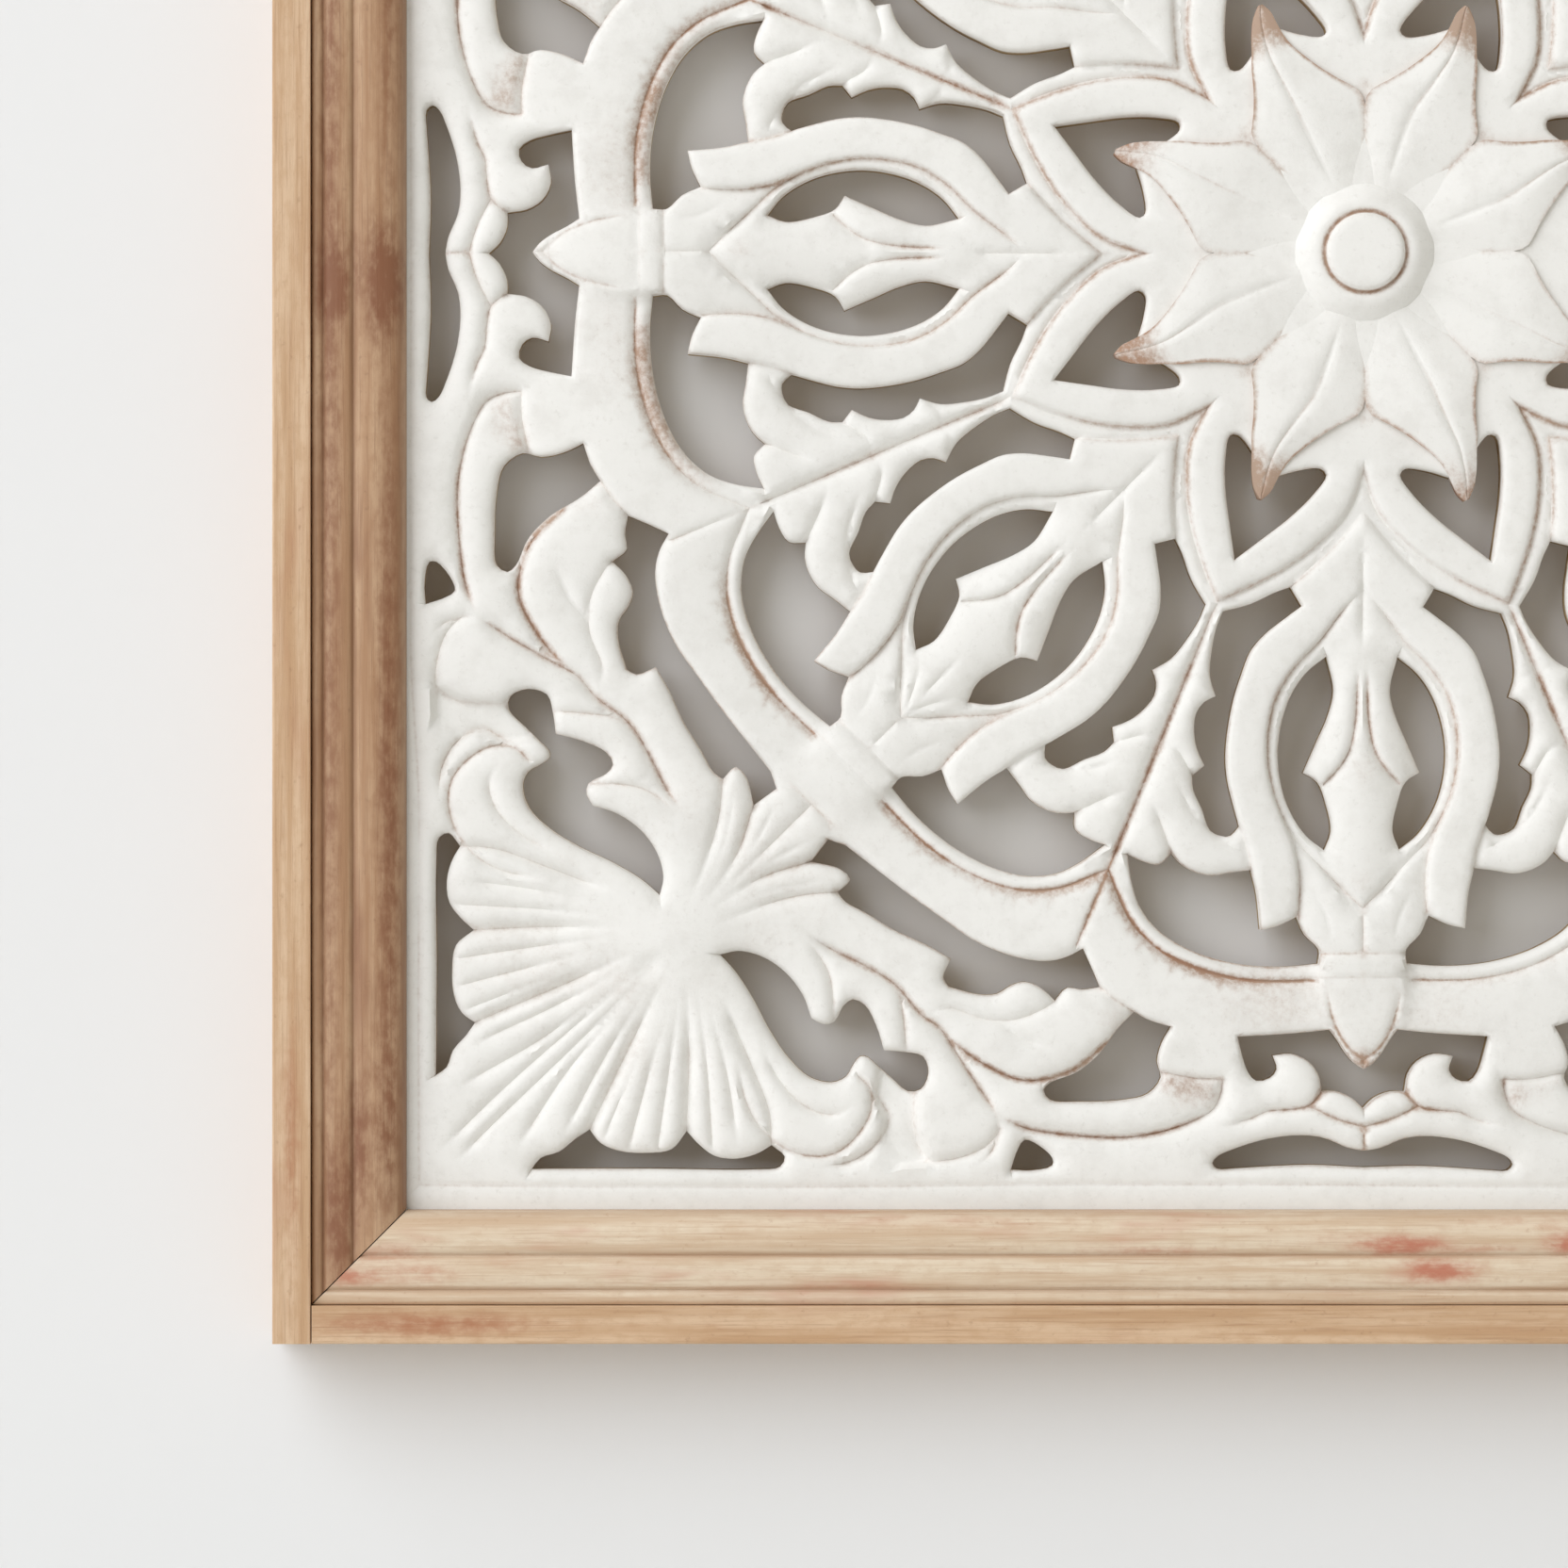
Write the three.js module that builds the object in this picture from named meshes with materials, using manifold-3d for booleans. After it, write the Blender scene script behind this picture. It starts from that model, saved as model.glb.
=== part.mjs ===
// Framed cutwork wall panel: one carved and pierced board, four reeded mouldings, four outer laths.
// Millimetres, +Z up. The panel hangs in the XZ plane with its face towards -Y and its back
// against a wall at Y = 0. The origin is the middle of the top lath's back face.

import * as THREE from 'three';
import { mergeVertices } from 'three/addons/utils/BufferGeometryUtils.js';
import Module from 'manifold-3d';

const wasm = await Module();
wasm.setup();

// Driving dimensions
const OVERALL = 600;          // outside width and height of the frame
const LATH_WIDTH = 10.5;      // outer lath, seen from the front
const LATH_PROUD = 1.5;       // how far the laths stand in front of the reeds
const LATH_EASE = 1;          // eased front edges of the laths
const REED_INNER = 12;        // broad reed next to the carving
const REED_MIDDLE = 9.5;      // second reed
const REED_BEAD = 4.5;        // thin bead beside the lath
const REED_THICK = 8.2;       // thickness of the moulding that lies on the board
const REED_EDGE = 1.5;        // square edge left below the rounded inner side
const REED_SIDE = 6;          // width of the rounded inner side
const GROOVE_WIDTH = 3.2;     // grooves between the reeds
const GROOVE_DEPTH = 2;
const PANEL_BACK = 6;         // hollow behind the carved board
const BORDER = 10;            // plain margin around the carving
const GROUND = 10.5;          // thickness left where the ground is carved down
const BORDER_RISE = 3.5;      // the rises are heights above that ground
const STRAP_RISE = 3.5;       // wide band of the scalloped strap
const STAR_BEAD_RISE = 2.5;   // thin bead around the star strap
const STAR_BAND_RISE = 4.7;   // wide band of the star strap
const LEAF_RISE = 3.9;        // crests of the leaves
const LOOP_RISE = 4.5;        // crests of the loops
const BUD_RISE = 5.5;         // buds across the scalloped strap
const PETAL_RISE = 7.5;       // highest part of the flower's petals
const KNOB_RADIUS = 11.3;     // flat disc in the middle of the flower
const KNOB_RISE = 11;
const KNOB_EASE = 1.1;        // bevelled edge of the disc
const KNOB_GROOVE = 1.4;      // narrow gap around the disc
const COLLAR_WIDTH = 6.8;     // domed ring around the disc
const COLLAR_RISE = 9.5;
const COLLAR_DOME = 2.8;      // height of the dome
const GAP = 0.3;              // clearance between touching pieces
const SLIVER = 0.1;           // joined carving keeps no facet narrower than this

// Sizes that follow
const HALF = OVERALL / 2;
const MOULDING = REED_INNER + REED_MIDDLE + REED_BEAD;
const SIGHT = HALF - LATH_WIDTH - MOULDING;
const BOARD_HALF = HALF - LATH_WIDTH - GAP;
const BOARD = GROUND + BORDER_RISE;
const REED_BACK = PANEL_BACK + BOARD + GAP;
const REED_TOP = REED_BACK + REED_THICK;
const LATH_DEPTH = REED_TOP + LATH_PROUD;
const COLLAR_RADIUS = KNOB_RADIUS + KNOB_GROOVE + COLLAR_WIDTH;

// Shares of the ground's thickness: where raised forms have their foot, and the undercut of petals
const FOOT = 0.3;
const UNDERCUT = 0.4;

// Half width of the opening in the units in which the carving is drawn
const DRAWN = 253;
const SCALE = SIGHT / DRAWN;

// The carving is drawn in one wedge of the square, where a point is [sideways, outwards] from the
// middle of the flower. A window is an opening cut right through the board.

// Inside the scalloped strap the pattern has eight lobes, each the mirror of itself.
const starWindow = [[38, 50], [31.5, 48.5], [24, 58], [10, 57], [12, 63], [24, 74.5], [36, 81]];
const lobeWindows = [
  // between a leaf and a loop
  [
    [37, 95.5], [18.8, 88.5], [15.8, 93.5], [25.5, 101], [32.5, 114], [36, 133], [32.3, 151.5],
    [38, 154], [45, 138], [41.8, 135.5], [44.5, 126.5], [38.8, 117.2],
  ],
  // inside a loop, beside its spear
  [[9.3, 106.5], [7.3, 116], [15.3, 137.3], [8.2, 150], [9.8, 158], [22.3, 138], [20.5, 121]],
  // between the leaf and the scalloped strap
  [
    [62, 158.8], [50.5, 158.5], [40, 164.5], [29.3, 163], [26.8, 179], [17.3, 175.5],
    [11.3, 184.5], [11.5, 188.3], [30, 188.8], [46, 184], [58, 173],
  ],
];

// Outside the strap the pattern has four corners, each the mirror of itself.
const cornerWindows = [
  // along the outside of the strap
  [
    [141.8, 155.3], [137.3, 156.8], [112, 176], [93, 186], [74, 183.8], [69.3, 194.3],
    [81.3, 198], [89.3, 193], [109.8, 194.5], [109.3, 186.5], [137, 169], [146.3, 161.3],
  ],
  // behind the curled leaf
  [[84.3, 222], [66, 207.5], [60.3, 200.8], [50.3, 204.8], [54.5, 220], [68, 225]],
  // small hole at the border
  [[93, 243], [89.5, 235], [81.5, 240.5]],
  // under the shell's lobes
  [
    [218, 242.5], [204, 232], [197, 237.5], [184, 237.3], [179.3, 232.3], [172, 238.5],
    [162, 238.7], [156.8, 236], [154, 241.8],
  ],
  // between the shell and the branch
  [
    [170.3, 186], [160, 186], [150, 194], [146.3, 203], [140.3, 203.8], [135.3, 197.8],
    [127, 211.3], [116.5, 213], [116.5, 221], [132.8, 212], [138, 219], [148, 217], [158, 205],
  ],
];

// These two lie across the middle of each side; only their left half is drawn.
const middleWindows = [
  [[0, 216.3], [8.8, 205.8], [33, 207.5], [29, 218.5], [23.3, 212.8], [11, 222.2], [0, 226.8]],
  [[0, 237.8], [16.8, 233.7], [39.8, 243], [0, 242.3]],
];

// Sections of the raised forms: [share across, share of the rise]
const FLAT = [[-1, 1], [1, 1]];
const RIDGE = [[-1, 0], [0, 1], [1, 0]];
const VALLEY = [[-1, 1], [0, 0.2], [1, 1]];
const PILLOW = [[-1, 0.7], [0, 1], [1, 0.7]];

// Raised forms: each station is [sideways, outwards, half width]. A form that is wider than what is
// left of the board is trimmed by the windows.

// Forms that are repeated on both sides of each of the eight lobes
const lobeForms = [
  // arm of a loop, from the star to the tab beside the bud
  {
    rise: LOOP_RISE,
    section: FLAT,
    stations: [[-1, 82, 9], [25, 108, 9], [29.3, 132, 9.5], [22, 182, 9]],
  },
  // one half lobe of the scalloped strap, from its middle to the cusp
  {
    rise: STRAP_RISE,
    section: FLAT,
    stations: [[-1, 197.5, 12], [36, 197.5, 13], [62, 185, 16], [68, 159, 9]],
  },
];

// Forms along the middle of each lobe: the spear inside a loop, and the bud that crosses the strap
const lobeMiddleForms = [
  { rise: LOOP_RISE, section: RIDGE, stations: [[0, 96, 10], [0, 138, 18], [0, 176, 22]] },
  { rise: BUD_RISE, section: PILLOW, stations: [[0, 172, 9], [0, 186, 15], [0, 218, 11]] },
];

// Split leaf with its vein, between two lobes
const leafForm = {
  rise: LEAF_RISE,
  section: VALLEY,
  stations: [[0, 101, 4], [0, 168, 36]],
};

// Forms that are repeated on both sides of each of the four corners
const cornerForms = [
  // shell lobes
  { rise: LEAF_RISE, section: RIDGE, stations: [[181, 184, 7], [191.5, 242, 16]] },
  { rise: LEAF_RISE, section: RIDGE, stations: [[176, 184, 6], [167, 243, 15]] },
  // scroll beside the shell
  {
    rise: LOOP_RISE,
    section: RIDGE,
    stations: [[170, 188, 5], [156, 216, 12], [142, 229, 12], [131, 211, 7]],
  },
  // branch along the strap, and the leaf that hangs from it
  { rise: LEAF_RISE, section: RIDGE, stations: [[158, 172, 7], [132, 180, 10], [108, 191, 8]] },
  { rise: LEAF_RISE, section: RIDGE, stations: [[140, 184, 4], [113, 206, 13], [108, 236, 20]] },
  // curled leaf and the long leaf along the border
  { rise: LEAF_RISE, section: RIDGE, stations: [[116, 198, 4], [98, 208, 14], [68, 198, 10]] },
  { rise: LEAF_RISE, section: RIDGE, stations: [[100, 224, 4], [70, 231, 9], [42, 216, 11]] },
  // hooked scroll near the middle
  { rise: LEAF_RISE, section: RIDGE, stations: [[40, 228, 5], [20, 220, 9], [-1, 228, 7]] },
];

// Lobe of the shell that runs into the corner
const cornerMiddleForm = {
  rise: LEAF_RISE,
  section: RIDGE,
  stations: [[0, 250, 8], [0, 300, 34], [0, 343, 44]],
};

// Outlines of the star strap, from the middle of a lobe to the point between two lobes
const starOutline = [[0, 58], [4, 68.5], [22, 85]];
const starPoint = 100;
const beadWidth = 4;

// Petals: [distance from the centre, half width, share of the rise along the middle and the edge]
const petalStations = [
  [14, 5.8, 0.73, 0.73],
  [35, 14.6, 0.67, 1],
  [50, 7.6, 0.73, 1],
  [70.5, 0.4, 0.47, 0.47],
];

// A closed body from flat outline points, standing from one thickness to another
function plate(points, low, high) {
  const shape = new THREE.Shape(points.map(([u, v]) => new THREE.Vector2(u, v)));
  const body = new THREE.ExtrudeGeometry(shape, { depth: high - low, bevelEnabled: false });
  return body.translate(0, 0, low);
}

// A closed geometry as a solid that can be joined and cut, and back
function solid(geometry) {
  const bare = geometry.clone();
  bare.deleteAttribute('normal');
  bare.deleteAttribute('uv');
  const merged = mergeVertices(bare, 1e-4);
  return new wasm.Manifold(new wasm.Mesh({
    numProp: 3,
    vertProperties: new Float32Array(merged.attributes.position.array),
    triVerts: new Uint32Array(merged.index.array),
  }));
}

function geometryOf(body) {
  const mesh = body.getMesh();
  const geometry = new THREE.BufferGeometry();
  geometry.setAttribute('position', new THREE.BufferAttribute(mesh.vertProperties, 3));
  geometry.setIndex(new THREE.BufferAttribute(mesh.triVerts, 1));
  return geometry;
}

// A closed body from rings of equal length, each joined to the next, with flat ends
function skin(rings) {
  const count = rings[0].length;
  const positions = rings.flat(2);
  const indices = [];
  for (let i = 0; i + 1 < rings.length; i += 1) {
    for (let j = 0; j < count; j += 1) {
      const a = i * count + j;
      const b = i * count + (j + 1) % count;
      indices.push(a, b, b + count, a, b + count, a + count);
    }
  }
  const last = (rings.length - 1) * count;
  for (let j = 1; j + 1 < count; j += 1) {
    indices.push(0, j + 1, j, last, last + j, last + j + 1);
  }
  const geometry = new THREE.BufferGeometry();
  geometry.setAttribute('position', new THREE.Float32BufferAttribute(positions, 3));
  geometry.setIndex(indices);
  return geometry;
}

// Raised form: a section carried along its stations, its foot sunk into the ground
function raised({ rise, section, stations }) {
  const foot = GROUND * FOOT;
  const rings = stations.map(([a, r, half], i) => {
    const before = stations[Math.max(i - 1, 0)];
    const after = stations[Math.min(i + 1, stations.length - 1)];
    const way = new THREE.Vector2(after[0] - before[0], after[1] - before[1]).normalize();
    const at = (share, height) => [
      SCALE * (a - way.y * half * share),
      -SCALE * (r + way.x * half * share),
      height,
    ];
    const top = section.map(([share, part]) => at(share, GROUND + rise * part));
    return [at(-1, foot), ...top, at(1, foot)];
  });
  return skin(rings);
}

// Copies of a body around the flower: turned by eighths, and mirrored
const flip = new THREE.Matrix4().makeScale(-1, 1, 1);
function mirrored(geometry) {
  const copy = geometry.index ? geometry.clone() : mergeVertices(geometry);
  copy.applyMatrix4(flip);
  const order = copy.index.array;
  for (let i = 0; i < order.length; i += 3) {
    [order[i], order[i + 1]] = [order[i + 1], order[i]];
  }
  return copy;
}

function around(geometry, times, offset = 0) {
  return Array.from({ length: times }, (_, i) => {
    const turn = new THREE.Matrix4().makeRotationZ((i + offset) * 2 * Math.PI / times);
    return solid(geometry.clone().applyMatrix4(turn));
  });
}

function bothSides(geometry, times) {
  return [...around(geometry, times), ...around(mirrored(geometry), times)];
}

// Outline points of a window in the plane of the board
function outline(drawn) {
  return drawn.map(([a, r]) => [a * SCALE, -r * SCALE]);
}

function windowBody(points) {
  const clear = 1;
  return plate(points, -clear, GROUND + KNOB_RISE + clear);
}

function acrossMiddle(drawn) {
  const half = outline(drawn);
  const other = half.filter(([a]) => a > 0).reverse().map(([a, r]) => [-a, r]);
  return [...half, ...other];
}

// Star strap: a wide band inside a thin bead, both with eight points
function star(extra) {
  const eighth = Math.PI / 4;
  const points = [];
  for (let k = 0; k < 8; k += 1) {
    const halfLobe = starOutline.map(([a, r]) => [Math.atan2(a, r), Math.hypot(a, r) + extra]);
    const tip = [eighth / 2, starPoint + extra];
    const lobe = [...halfLobe, tip, ...halfLobe.slice(1).reverse().map(([t, d]) => [eighth - t, d])];
    lobe.forEach(([t, d]) => {
      const angle = t + k * eighth;
      points.push([SCALE * d * Math.sin(angle), -SCALE * d * Math.cos(angle)]);
    });
  }
  return points;
}

// One petal, pointing outwards between two lobes, undercut below its tip
function petal() {
  const low = GROUND * UNDERCUT;
  const rings = petalStations.map(([far, half, middle, edge]) => [
    [half * SCALE, -far * SCALE, low],
    [half * SCALE, -far * SCALE, GROUND + PETAL_RISE * edge],
    [0, -far * SCALE, GROUND + PETAL_RISE * middle],
    [-half * SCALE, -far * SCALE, GROUND + PETAL_RISE * edge],
    [-half * SCALE, -far * SCALE, low],
  ]);
  return skin(rings).rotateZ(Math.PI / 8);
}

// Disc and domed collar of the flower, turned about its axis
function boss() {
  const segments = 16;
  const domeSteps = 4;
  const profile = [[0, GROUND], [COLLAR_RADIUS, GROUND]];
  for (let i = 0; i <= domeSteps; i += 1) {
    const angle = i * Math.PI / domeSteps;
    profile.push([
      COLLAR_RADIUS - COLLAR_WIDTH * (1 - Math.cos(angle)) / 2,
      GROUND + COLLAR_RISE - COLLAR_DOME * (1 - Math.sin(angle)),
    ]);
  }
  const top = GROUND + KNOB_RISE;
  profile.push([KNOB_RADIUS, top - KNOB_EASE], [KNOB_RADIUS - KNOB_EASE, top], [0, top]);
  const points = profile.map(([radius, height]) => new THREE.Vector2(radius, height));
  return new THREE.LatheGeometry(points, segments).rotateX(Math.PI / 2);
}

function carvedPanel() {
  const square = (half) => [[-half, -half], [half, -half], [half, half], [-half, half]];
  const foot = GROUND * FOOT;
  const ground = plate(square(BOARD_HALF), 0, GROUND);
  const border = solid(plate(square(BOARD_HALF), foot, BOARD))
    .subtract(solid(plate(square(SIGHT - BORDER), 0, BOARD + BORDER_RISE)));
  const bodies = [solid(ground), border];
  bodies.push(solid(plate(star(beadWidth), foot, GROUND + STAR_BEAD_RISE)));
  bodies.push(solid(plate(star(0), foot, GROUND + STAR_BAND_RISE)));
  lobeForms.forEach((form) => bodies.push(...bothSides(raised(form), 8)));
  lobeMiddleForms.forEach((form) => bodies.push(...around(raised(form), 8)));
  bodies.push(...around(raised(leafForm), 8, 0.5));
  cornerForms.forEach((form) => bodies.push(...bothSides(raised(form), 4)));
  bodies.push(...around(raised(cornerMiddleForm), 4, 0.5));

  const holes = [];
  holes.push(...around(windowBody(outline(starWindow)), 8));
  lobeWindows.forEach((drawn) => holes.push(...bothSides(windowBody(outline(drawn)), 8)));
  cornerWindows.forEach((drawn) => holes.push(...bothSides(windowBody(outline(drawn)), 4)));
  middleWindows.forEach((drawn) => holes.push(...around(windowBody(acrossMiddle(drawn)), 4)));

  const flower = [...around(petal(), 8), solid(boss())];
  const whole = solid(plate(square(BOARD_HALF), 0, GROUND + KNOB_RISE));
  const carved = wasm.Manifold.union(bodies).intersect(whole).subtract(wasm.Manifold.union(holes));
  return geometryOf(wasm.Manifold.union([carved, ...flower]).simplify(SLIVER));
}

// Frame piece: a section [distance from the opening, distance from the wall] along the bottom side,
// with its ends where endAt says for each distance from the opening
function rail(section, endAt) {
  const count = section.length;
  const ring = (side) => section.map(([out, deep]) => [side * endAt(out), -(SIGHT + out), deep]);
  const cap = THREE.ShapeUtils.triangulateShape(section.map((p) => new THREE.Vector2(...p)), []);
  const indices = [];
  for (let j = 0; j < count; j += 1) {
    const next = (j + 1) % count;
    indices.push(j, next, next + count, j, next + count, j + count);
  }
  cap.forEach(([a, b, c]) => indices.push(a, c, b, a + count, b + count, c + count));
  const geometry = new THREE.BufferGeometry();
  geometry.setAttribute('position', new THREE.Float32BufferAttribute([ring(1), ring(-1)].flat(2), 3));
  geometry.setIndex(indices);
  return geometry;
}

// Two reeds and a bead with grooves between them, and a rounded side towards the opening
function mouldingSection() {
  const end = MOULDING - GAP;
  const grooves = [REED_INNER + REED_MIDDLE, REED_INNER].flatMap((middle) => [
    [middle + GROOVE_WIDTH / 2, REED_TOP],
    [middle, REED_TOP - GROOVE_DEPTH],
    [middle - GROOVE_WIDTH / 2, REED_TOP],
  ]);
  const sideSteps = 3;
  const side = [];
  for (let i = sideSteps; i >= 0; i -= 1) {
    const angle = i * Math.PI / 2 / sideSteps;
    side.push([
      REED_SIDE * (1 - Math.cos(angle)),
      REED_TOP - (REED_THICK - REED_EDGE) * (1 - Math.sin(angle)),
    ]);
  }
  return [[end, REED_BACK], [end, REED_TOP], ...grooves, ...side, [0, REED_BACK]];
}

function lathSection() {
  const inner = MOULDING;
  const outer = MOULDING + LATH_WIDTH;
  return [
    [outer, 0],
    [outer, LATH_DEPTH - LATH_EASE],
    [outer - LATH_EASE, LATH_DEPTH],
    [inner + LATH_EASE, LATH_DEPTH],
    [inner, LATH_DEPTH - LATH_EASE],
    [inner, 0],
  ];
}

// Materials
const paint = new THREE.MeshStandardMaterial({ color: 0xe9e8e3, roughness: 0.75, metalness: 0 });
const wood = new THREE.MeshStandardMaterial({ color: 0xc79f78, roughness: 0.6, metalness: 0 });
const lathWood = new THREE.MeshStandardMaterial({ color: 0xcba374, roughness: 0.6, metalness: 0 });

const standing = new THREE.Group();
standing.rotation.x = Math.PI / 2;
standing.position.z = LATH_WIDTH / 2 - HALF;

const panel = new THREE.Mesh(carvedPanel(), paint);
panel.name = 'carved_panel';
panel.position.z = PANEL_BACK;
standing.add(panel);

const mitre = (out) => SIGHT + out - GAP * Math.SQRT1_2;
const longEnd = () => HALF;
const shortEnd = () => HALF - LATH_WIDTH - GAP;
const sides = [['bottom', shortEnd], ['right', longEnd], ['top', shortEnd], ['left', longEnd]];
sides.forEach(([side, lathEnd], i) => {
  const moulding = new THREE.Mesh(rail(mouldingSection(), mitre), wood);
  moulding.name = `moulding_${side}`;
  moulding.rotation.z = i * Math.PI / 2;
  const lath = new THREE.Mesh(rail(lathSection(), lathEnd), lathWood);
  lath.name = `lath_${side}`;
  lath.rotation.z = i * Math.PI / 2;
  standing.add(moulding, lath);
});

const part = new THREE.Group();
part.add(standing);

export default part;
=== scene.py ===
# Framed cutwork wall panel: the finished surface of its carved board, reeded mouldings and laths.
# Metres. The panel hangs in the XZ plane, its face looks along -Y and the wall is at Y = 0.

import math

import bpy
import numpy as np
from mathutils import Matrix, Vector
from mathutils.geometry import delaunay_2d_cdt


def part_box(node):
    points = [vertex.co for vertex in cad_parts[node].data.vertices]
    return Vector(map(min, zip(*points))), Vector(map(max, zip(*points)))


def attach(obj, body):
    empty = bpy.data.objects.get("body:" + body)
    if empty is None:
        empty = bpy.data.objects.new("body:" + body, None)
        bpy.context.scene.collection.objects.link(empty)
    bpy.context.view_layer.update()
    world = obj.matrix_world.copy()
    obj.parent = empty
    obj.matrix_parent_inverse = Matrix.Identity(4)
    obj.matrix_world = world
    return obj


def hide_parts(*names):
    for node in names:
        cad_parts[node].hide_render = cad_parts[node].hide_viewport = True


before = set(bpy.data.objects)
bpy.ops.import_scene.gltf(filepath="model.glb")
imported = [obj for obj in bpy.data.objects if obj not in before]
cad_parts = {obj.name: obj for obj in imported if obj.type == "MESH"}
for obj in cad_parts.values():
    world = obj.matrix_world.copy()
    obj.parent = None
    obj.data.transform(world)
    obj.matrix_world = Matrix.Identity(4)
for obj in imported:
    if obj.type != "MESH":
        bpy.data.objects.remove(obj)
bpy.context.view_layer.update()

# Sizes taken from the frame
MM = 0.001
DRAWN = 253.0            # half width of the opening in the units in which the carving is drawn
board_low, board_high = (np.array(corner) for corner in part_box("carved_panel"))
rail_low, rail_high = (np.array(corner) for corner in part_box("moulding_bottom"))
lath_low, lath_high = (np.array(corner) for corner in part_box("lath_bottom"))
HALF_BOARD = (board_high[0] - board_low[0]) / 2
CENTRE_Z = (board_high[2] + board_low[2]) / 2
BOARD_BACK = board_high[1]
SIGHT = CENTRE_Z - rail_high[2]
UNIT = SIGHT / DRAWN
REACH = HALF_BOARD / UNIT
HALF_FRAME = CENTRE_Z - lath_low[2]

# Thicknesses of the carving in millimetres, from the back of the board
LEVEL_LEAF = 12.85
LEVEL_SIDE = 12.7
LEVEL_BORDER = 14.0
LEVEL_BEAD = 13.4
LEVEL_STAR = 15.2
LEVEL_LOOP = 15.0
LEVEL_LOOP_INSIDE = 12.9
LEVEL_SPEAR = 14.2
LEVEL_BUD = 16.4
LEVEL_STRAP = 14.0
LEVEL_TAB = 14.1
LEVEL_HOLLOW = 10.8

# Distances across the surface in drawn units
SAMPLE = 1.9             # between points along an outline
SAMPLE_LINE = 2.3        # between points along a carved line
SAMPLE_FORM = 2.0        # between points along the edge of a raised form
SAMPLE_RIM = 3.4         # between points along the wedge's own three sides
FILL = 4.2               # between points on open ground
FILL_CLEAR = 4.6         # how far those keep from a line
OUTLINE_ROWS = (0.55, 1.3, 3.0)      # how far rows of mesh points lie from an outline
LINE_ROWS = (0.6, 1.6, 3.1)          # and from a carved line
ROW_CELLS = (0.7, 1.0, 1.9, 2.2)     # least room of a point in each row and in the fill
NEAR_LINE = 14           # a line has no effect on points farther away than this
PAST_MIDDLE = -9         # outlines that cross the middle line are closed this far behind it
SWELL_REACH = 1.9        # over which the leaves swell beside an edge or a line
EDGE_ROUND = 1.1         # width, and depth in millimetres, of the softened edge at an opening
EDGE_RUB = (0.42, 0.75)  # strength and width of the rub on that edge
LEFT_SLIP = 5.0          # how much further out the left border was carved
ON_MIRROR = 2e-3         # corners this near to a mirror line lie on it
NEARLY = 1e-5            # corners this near to each other are one for the triangles
MERGED = 400             # and within the same 400th of a unit for the finished board
FAR = 1e9
AT_ONCE = 2000000        # how many distances are worked out in one array

# The scalloped strap: where its groove lies from its inside, its height across, from the inside to
# millimetres above its level, and strength, place beyond the groove and width of its worn slope
STRAP_GROOVE = 3.8
STRAP_SLOPE = [(0, -2.1), (1.0, -1.4), (2.7, -1.0), (4.7, -0.9), (7.2, -0.15), (14, 0.2), (40, 0.3)]
STRAP_RUB = (0.5, 0.9, 1.3)
# A carved line, in half widths: how far its cut and its rub reach; and the power of the cut's sides
CUT_REACH = 1.5
CUT_RUB_REACH = 0.85
CUT_POWER = 1.4

UNEVEN = 0.33            # millimetres by which hand work wanders across the surface
UNEVEN_LIFT = 0.12       # and up and down
BARE = -1.0              # value of the rub where the wood is bare
# Places in the drawing, right and down from the middle, where the lines are rubbed more or less:
# place, reach and how much is added to the strength of 1
WORN_PLACES = [
    (-190, -45, 42, 0.25), (-190, 45, 45, 0.2), (-165, 110, 30, 0.5), (-45, 182, 26, 1.0),
    (-120, 150, 30, 0.5), (40, 186, 26, -0.5), (-100, 60, 60, -0.2), (0, 215, 12, 0.5),
    (-228, -45, 26, -0.55), (-228, 45, 26, -0.55), (-228, 0, 22, -0.2), (-172, 71, 22, -0.85),
]
EIGHTH = math.pi / 4


# The drawing. A point is [sideways, outwards] from the middle of the flower, and a third value
# marks a sharp corner. Openings inside the scalloped strap, drawn for half a lobe.
STAR_OPENING = [
    (24.4, 60, 1), (16.8, 57.8), (11, 57.3), (9.5, 59), (13, 64.3), (19.3, 70.5), (26.8, 76.3),
    (33.8, 81.6, 1),
]
LOBE_OPENINGS = [
    [
        (36.8, 95, 1), (29.3, 93), (23, 90), (18.8, 88.5, 1), (15.8, 93.5, 1), (20.5, 97),
        (25.5, 101), (29.3, 105.5), (31.8, 111.8), (33.8, 118), (35.3, 125.5), (36, 133),
        (35.5, 139.3), (34, 145.5), (32.3, 151.5, 1), (34.6, 154), (37.3, 154), (40.3, 152.5),
        (42.5, 146.8), (44.8, 141.8), (45, 138, 1), (41.8, 135.5, 1), (43.8, 131), (44.5, 126.8),
        (44, 121.8), (41.8, 118.8), (38.8, 117.3, 1), (40.3, 111.8), (39.8, 105.5), (38.5, 99.3),
    ],
    [
        (9.3, 106.5, 1), (7.3, 115.5), (8.8, 122.3), (11.8, 129.3), (15.3, 137.3, 1),
        (11.5, 139.8), (9.3, 145.5), (8, 153), (9.8, 158, 1), (14.8, 154), (18.8, 148),
        (21.3, 141), (22.3, 132.5), (21.3, 124.3), (18.8, 117), (14.8, 111),
    ],
    [
        (62.3, 158.8, 1), (58, 160.8), (53.8, 161.5), (50.5, 158.5, 1), (47.8, 161.5),
        (44.3, 163.5), (39.8, 164.5), (35.5, 163.8), (29.3, 163, 1), (27.8, 169.3),
        (26.8, 179, 1), (22.5, 178), (17.3, 175.5, 1), (15, 180.5), (11.3, 184.5),
        (11.5, 188.3, 1), (19.3, 189), (28, 188.8), (36.8, 187.3), (45.5, 184.3), (53, 179.8),
        (58.5, 173.5), (61, 166.8),
    ],
]
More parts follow.
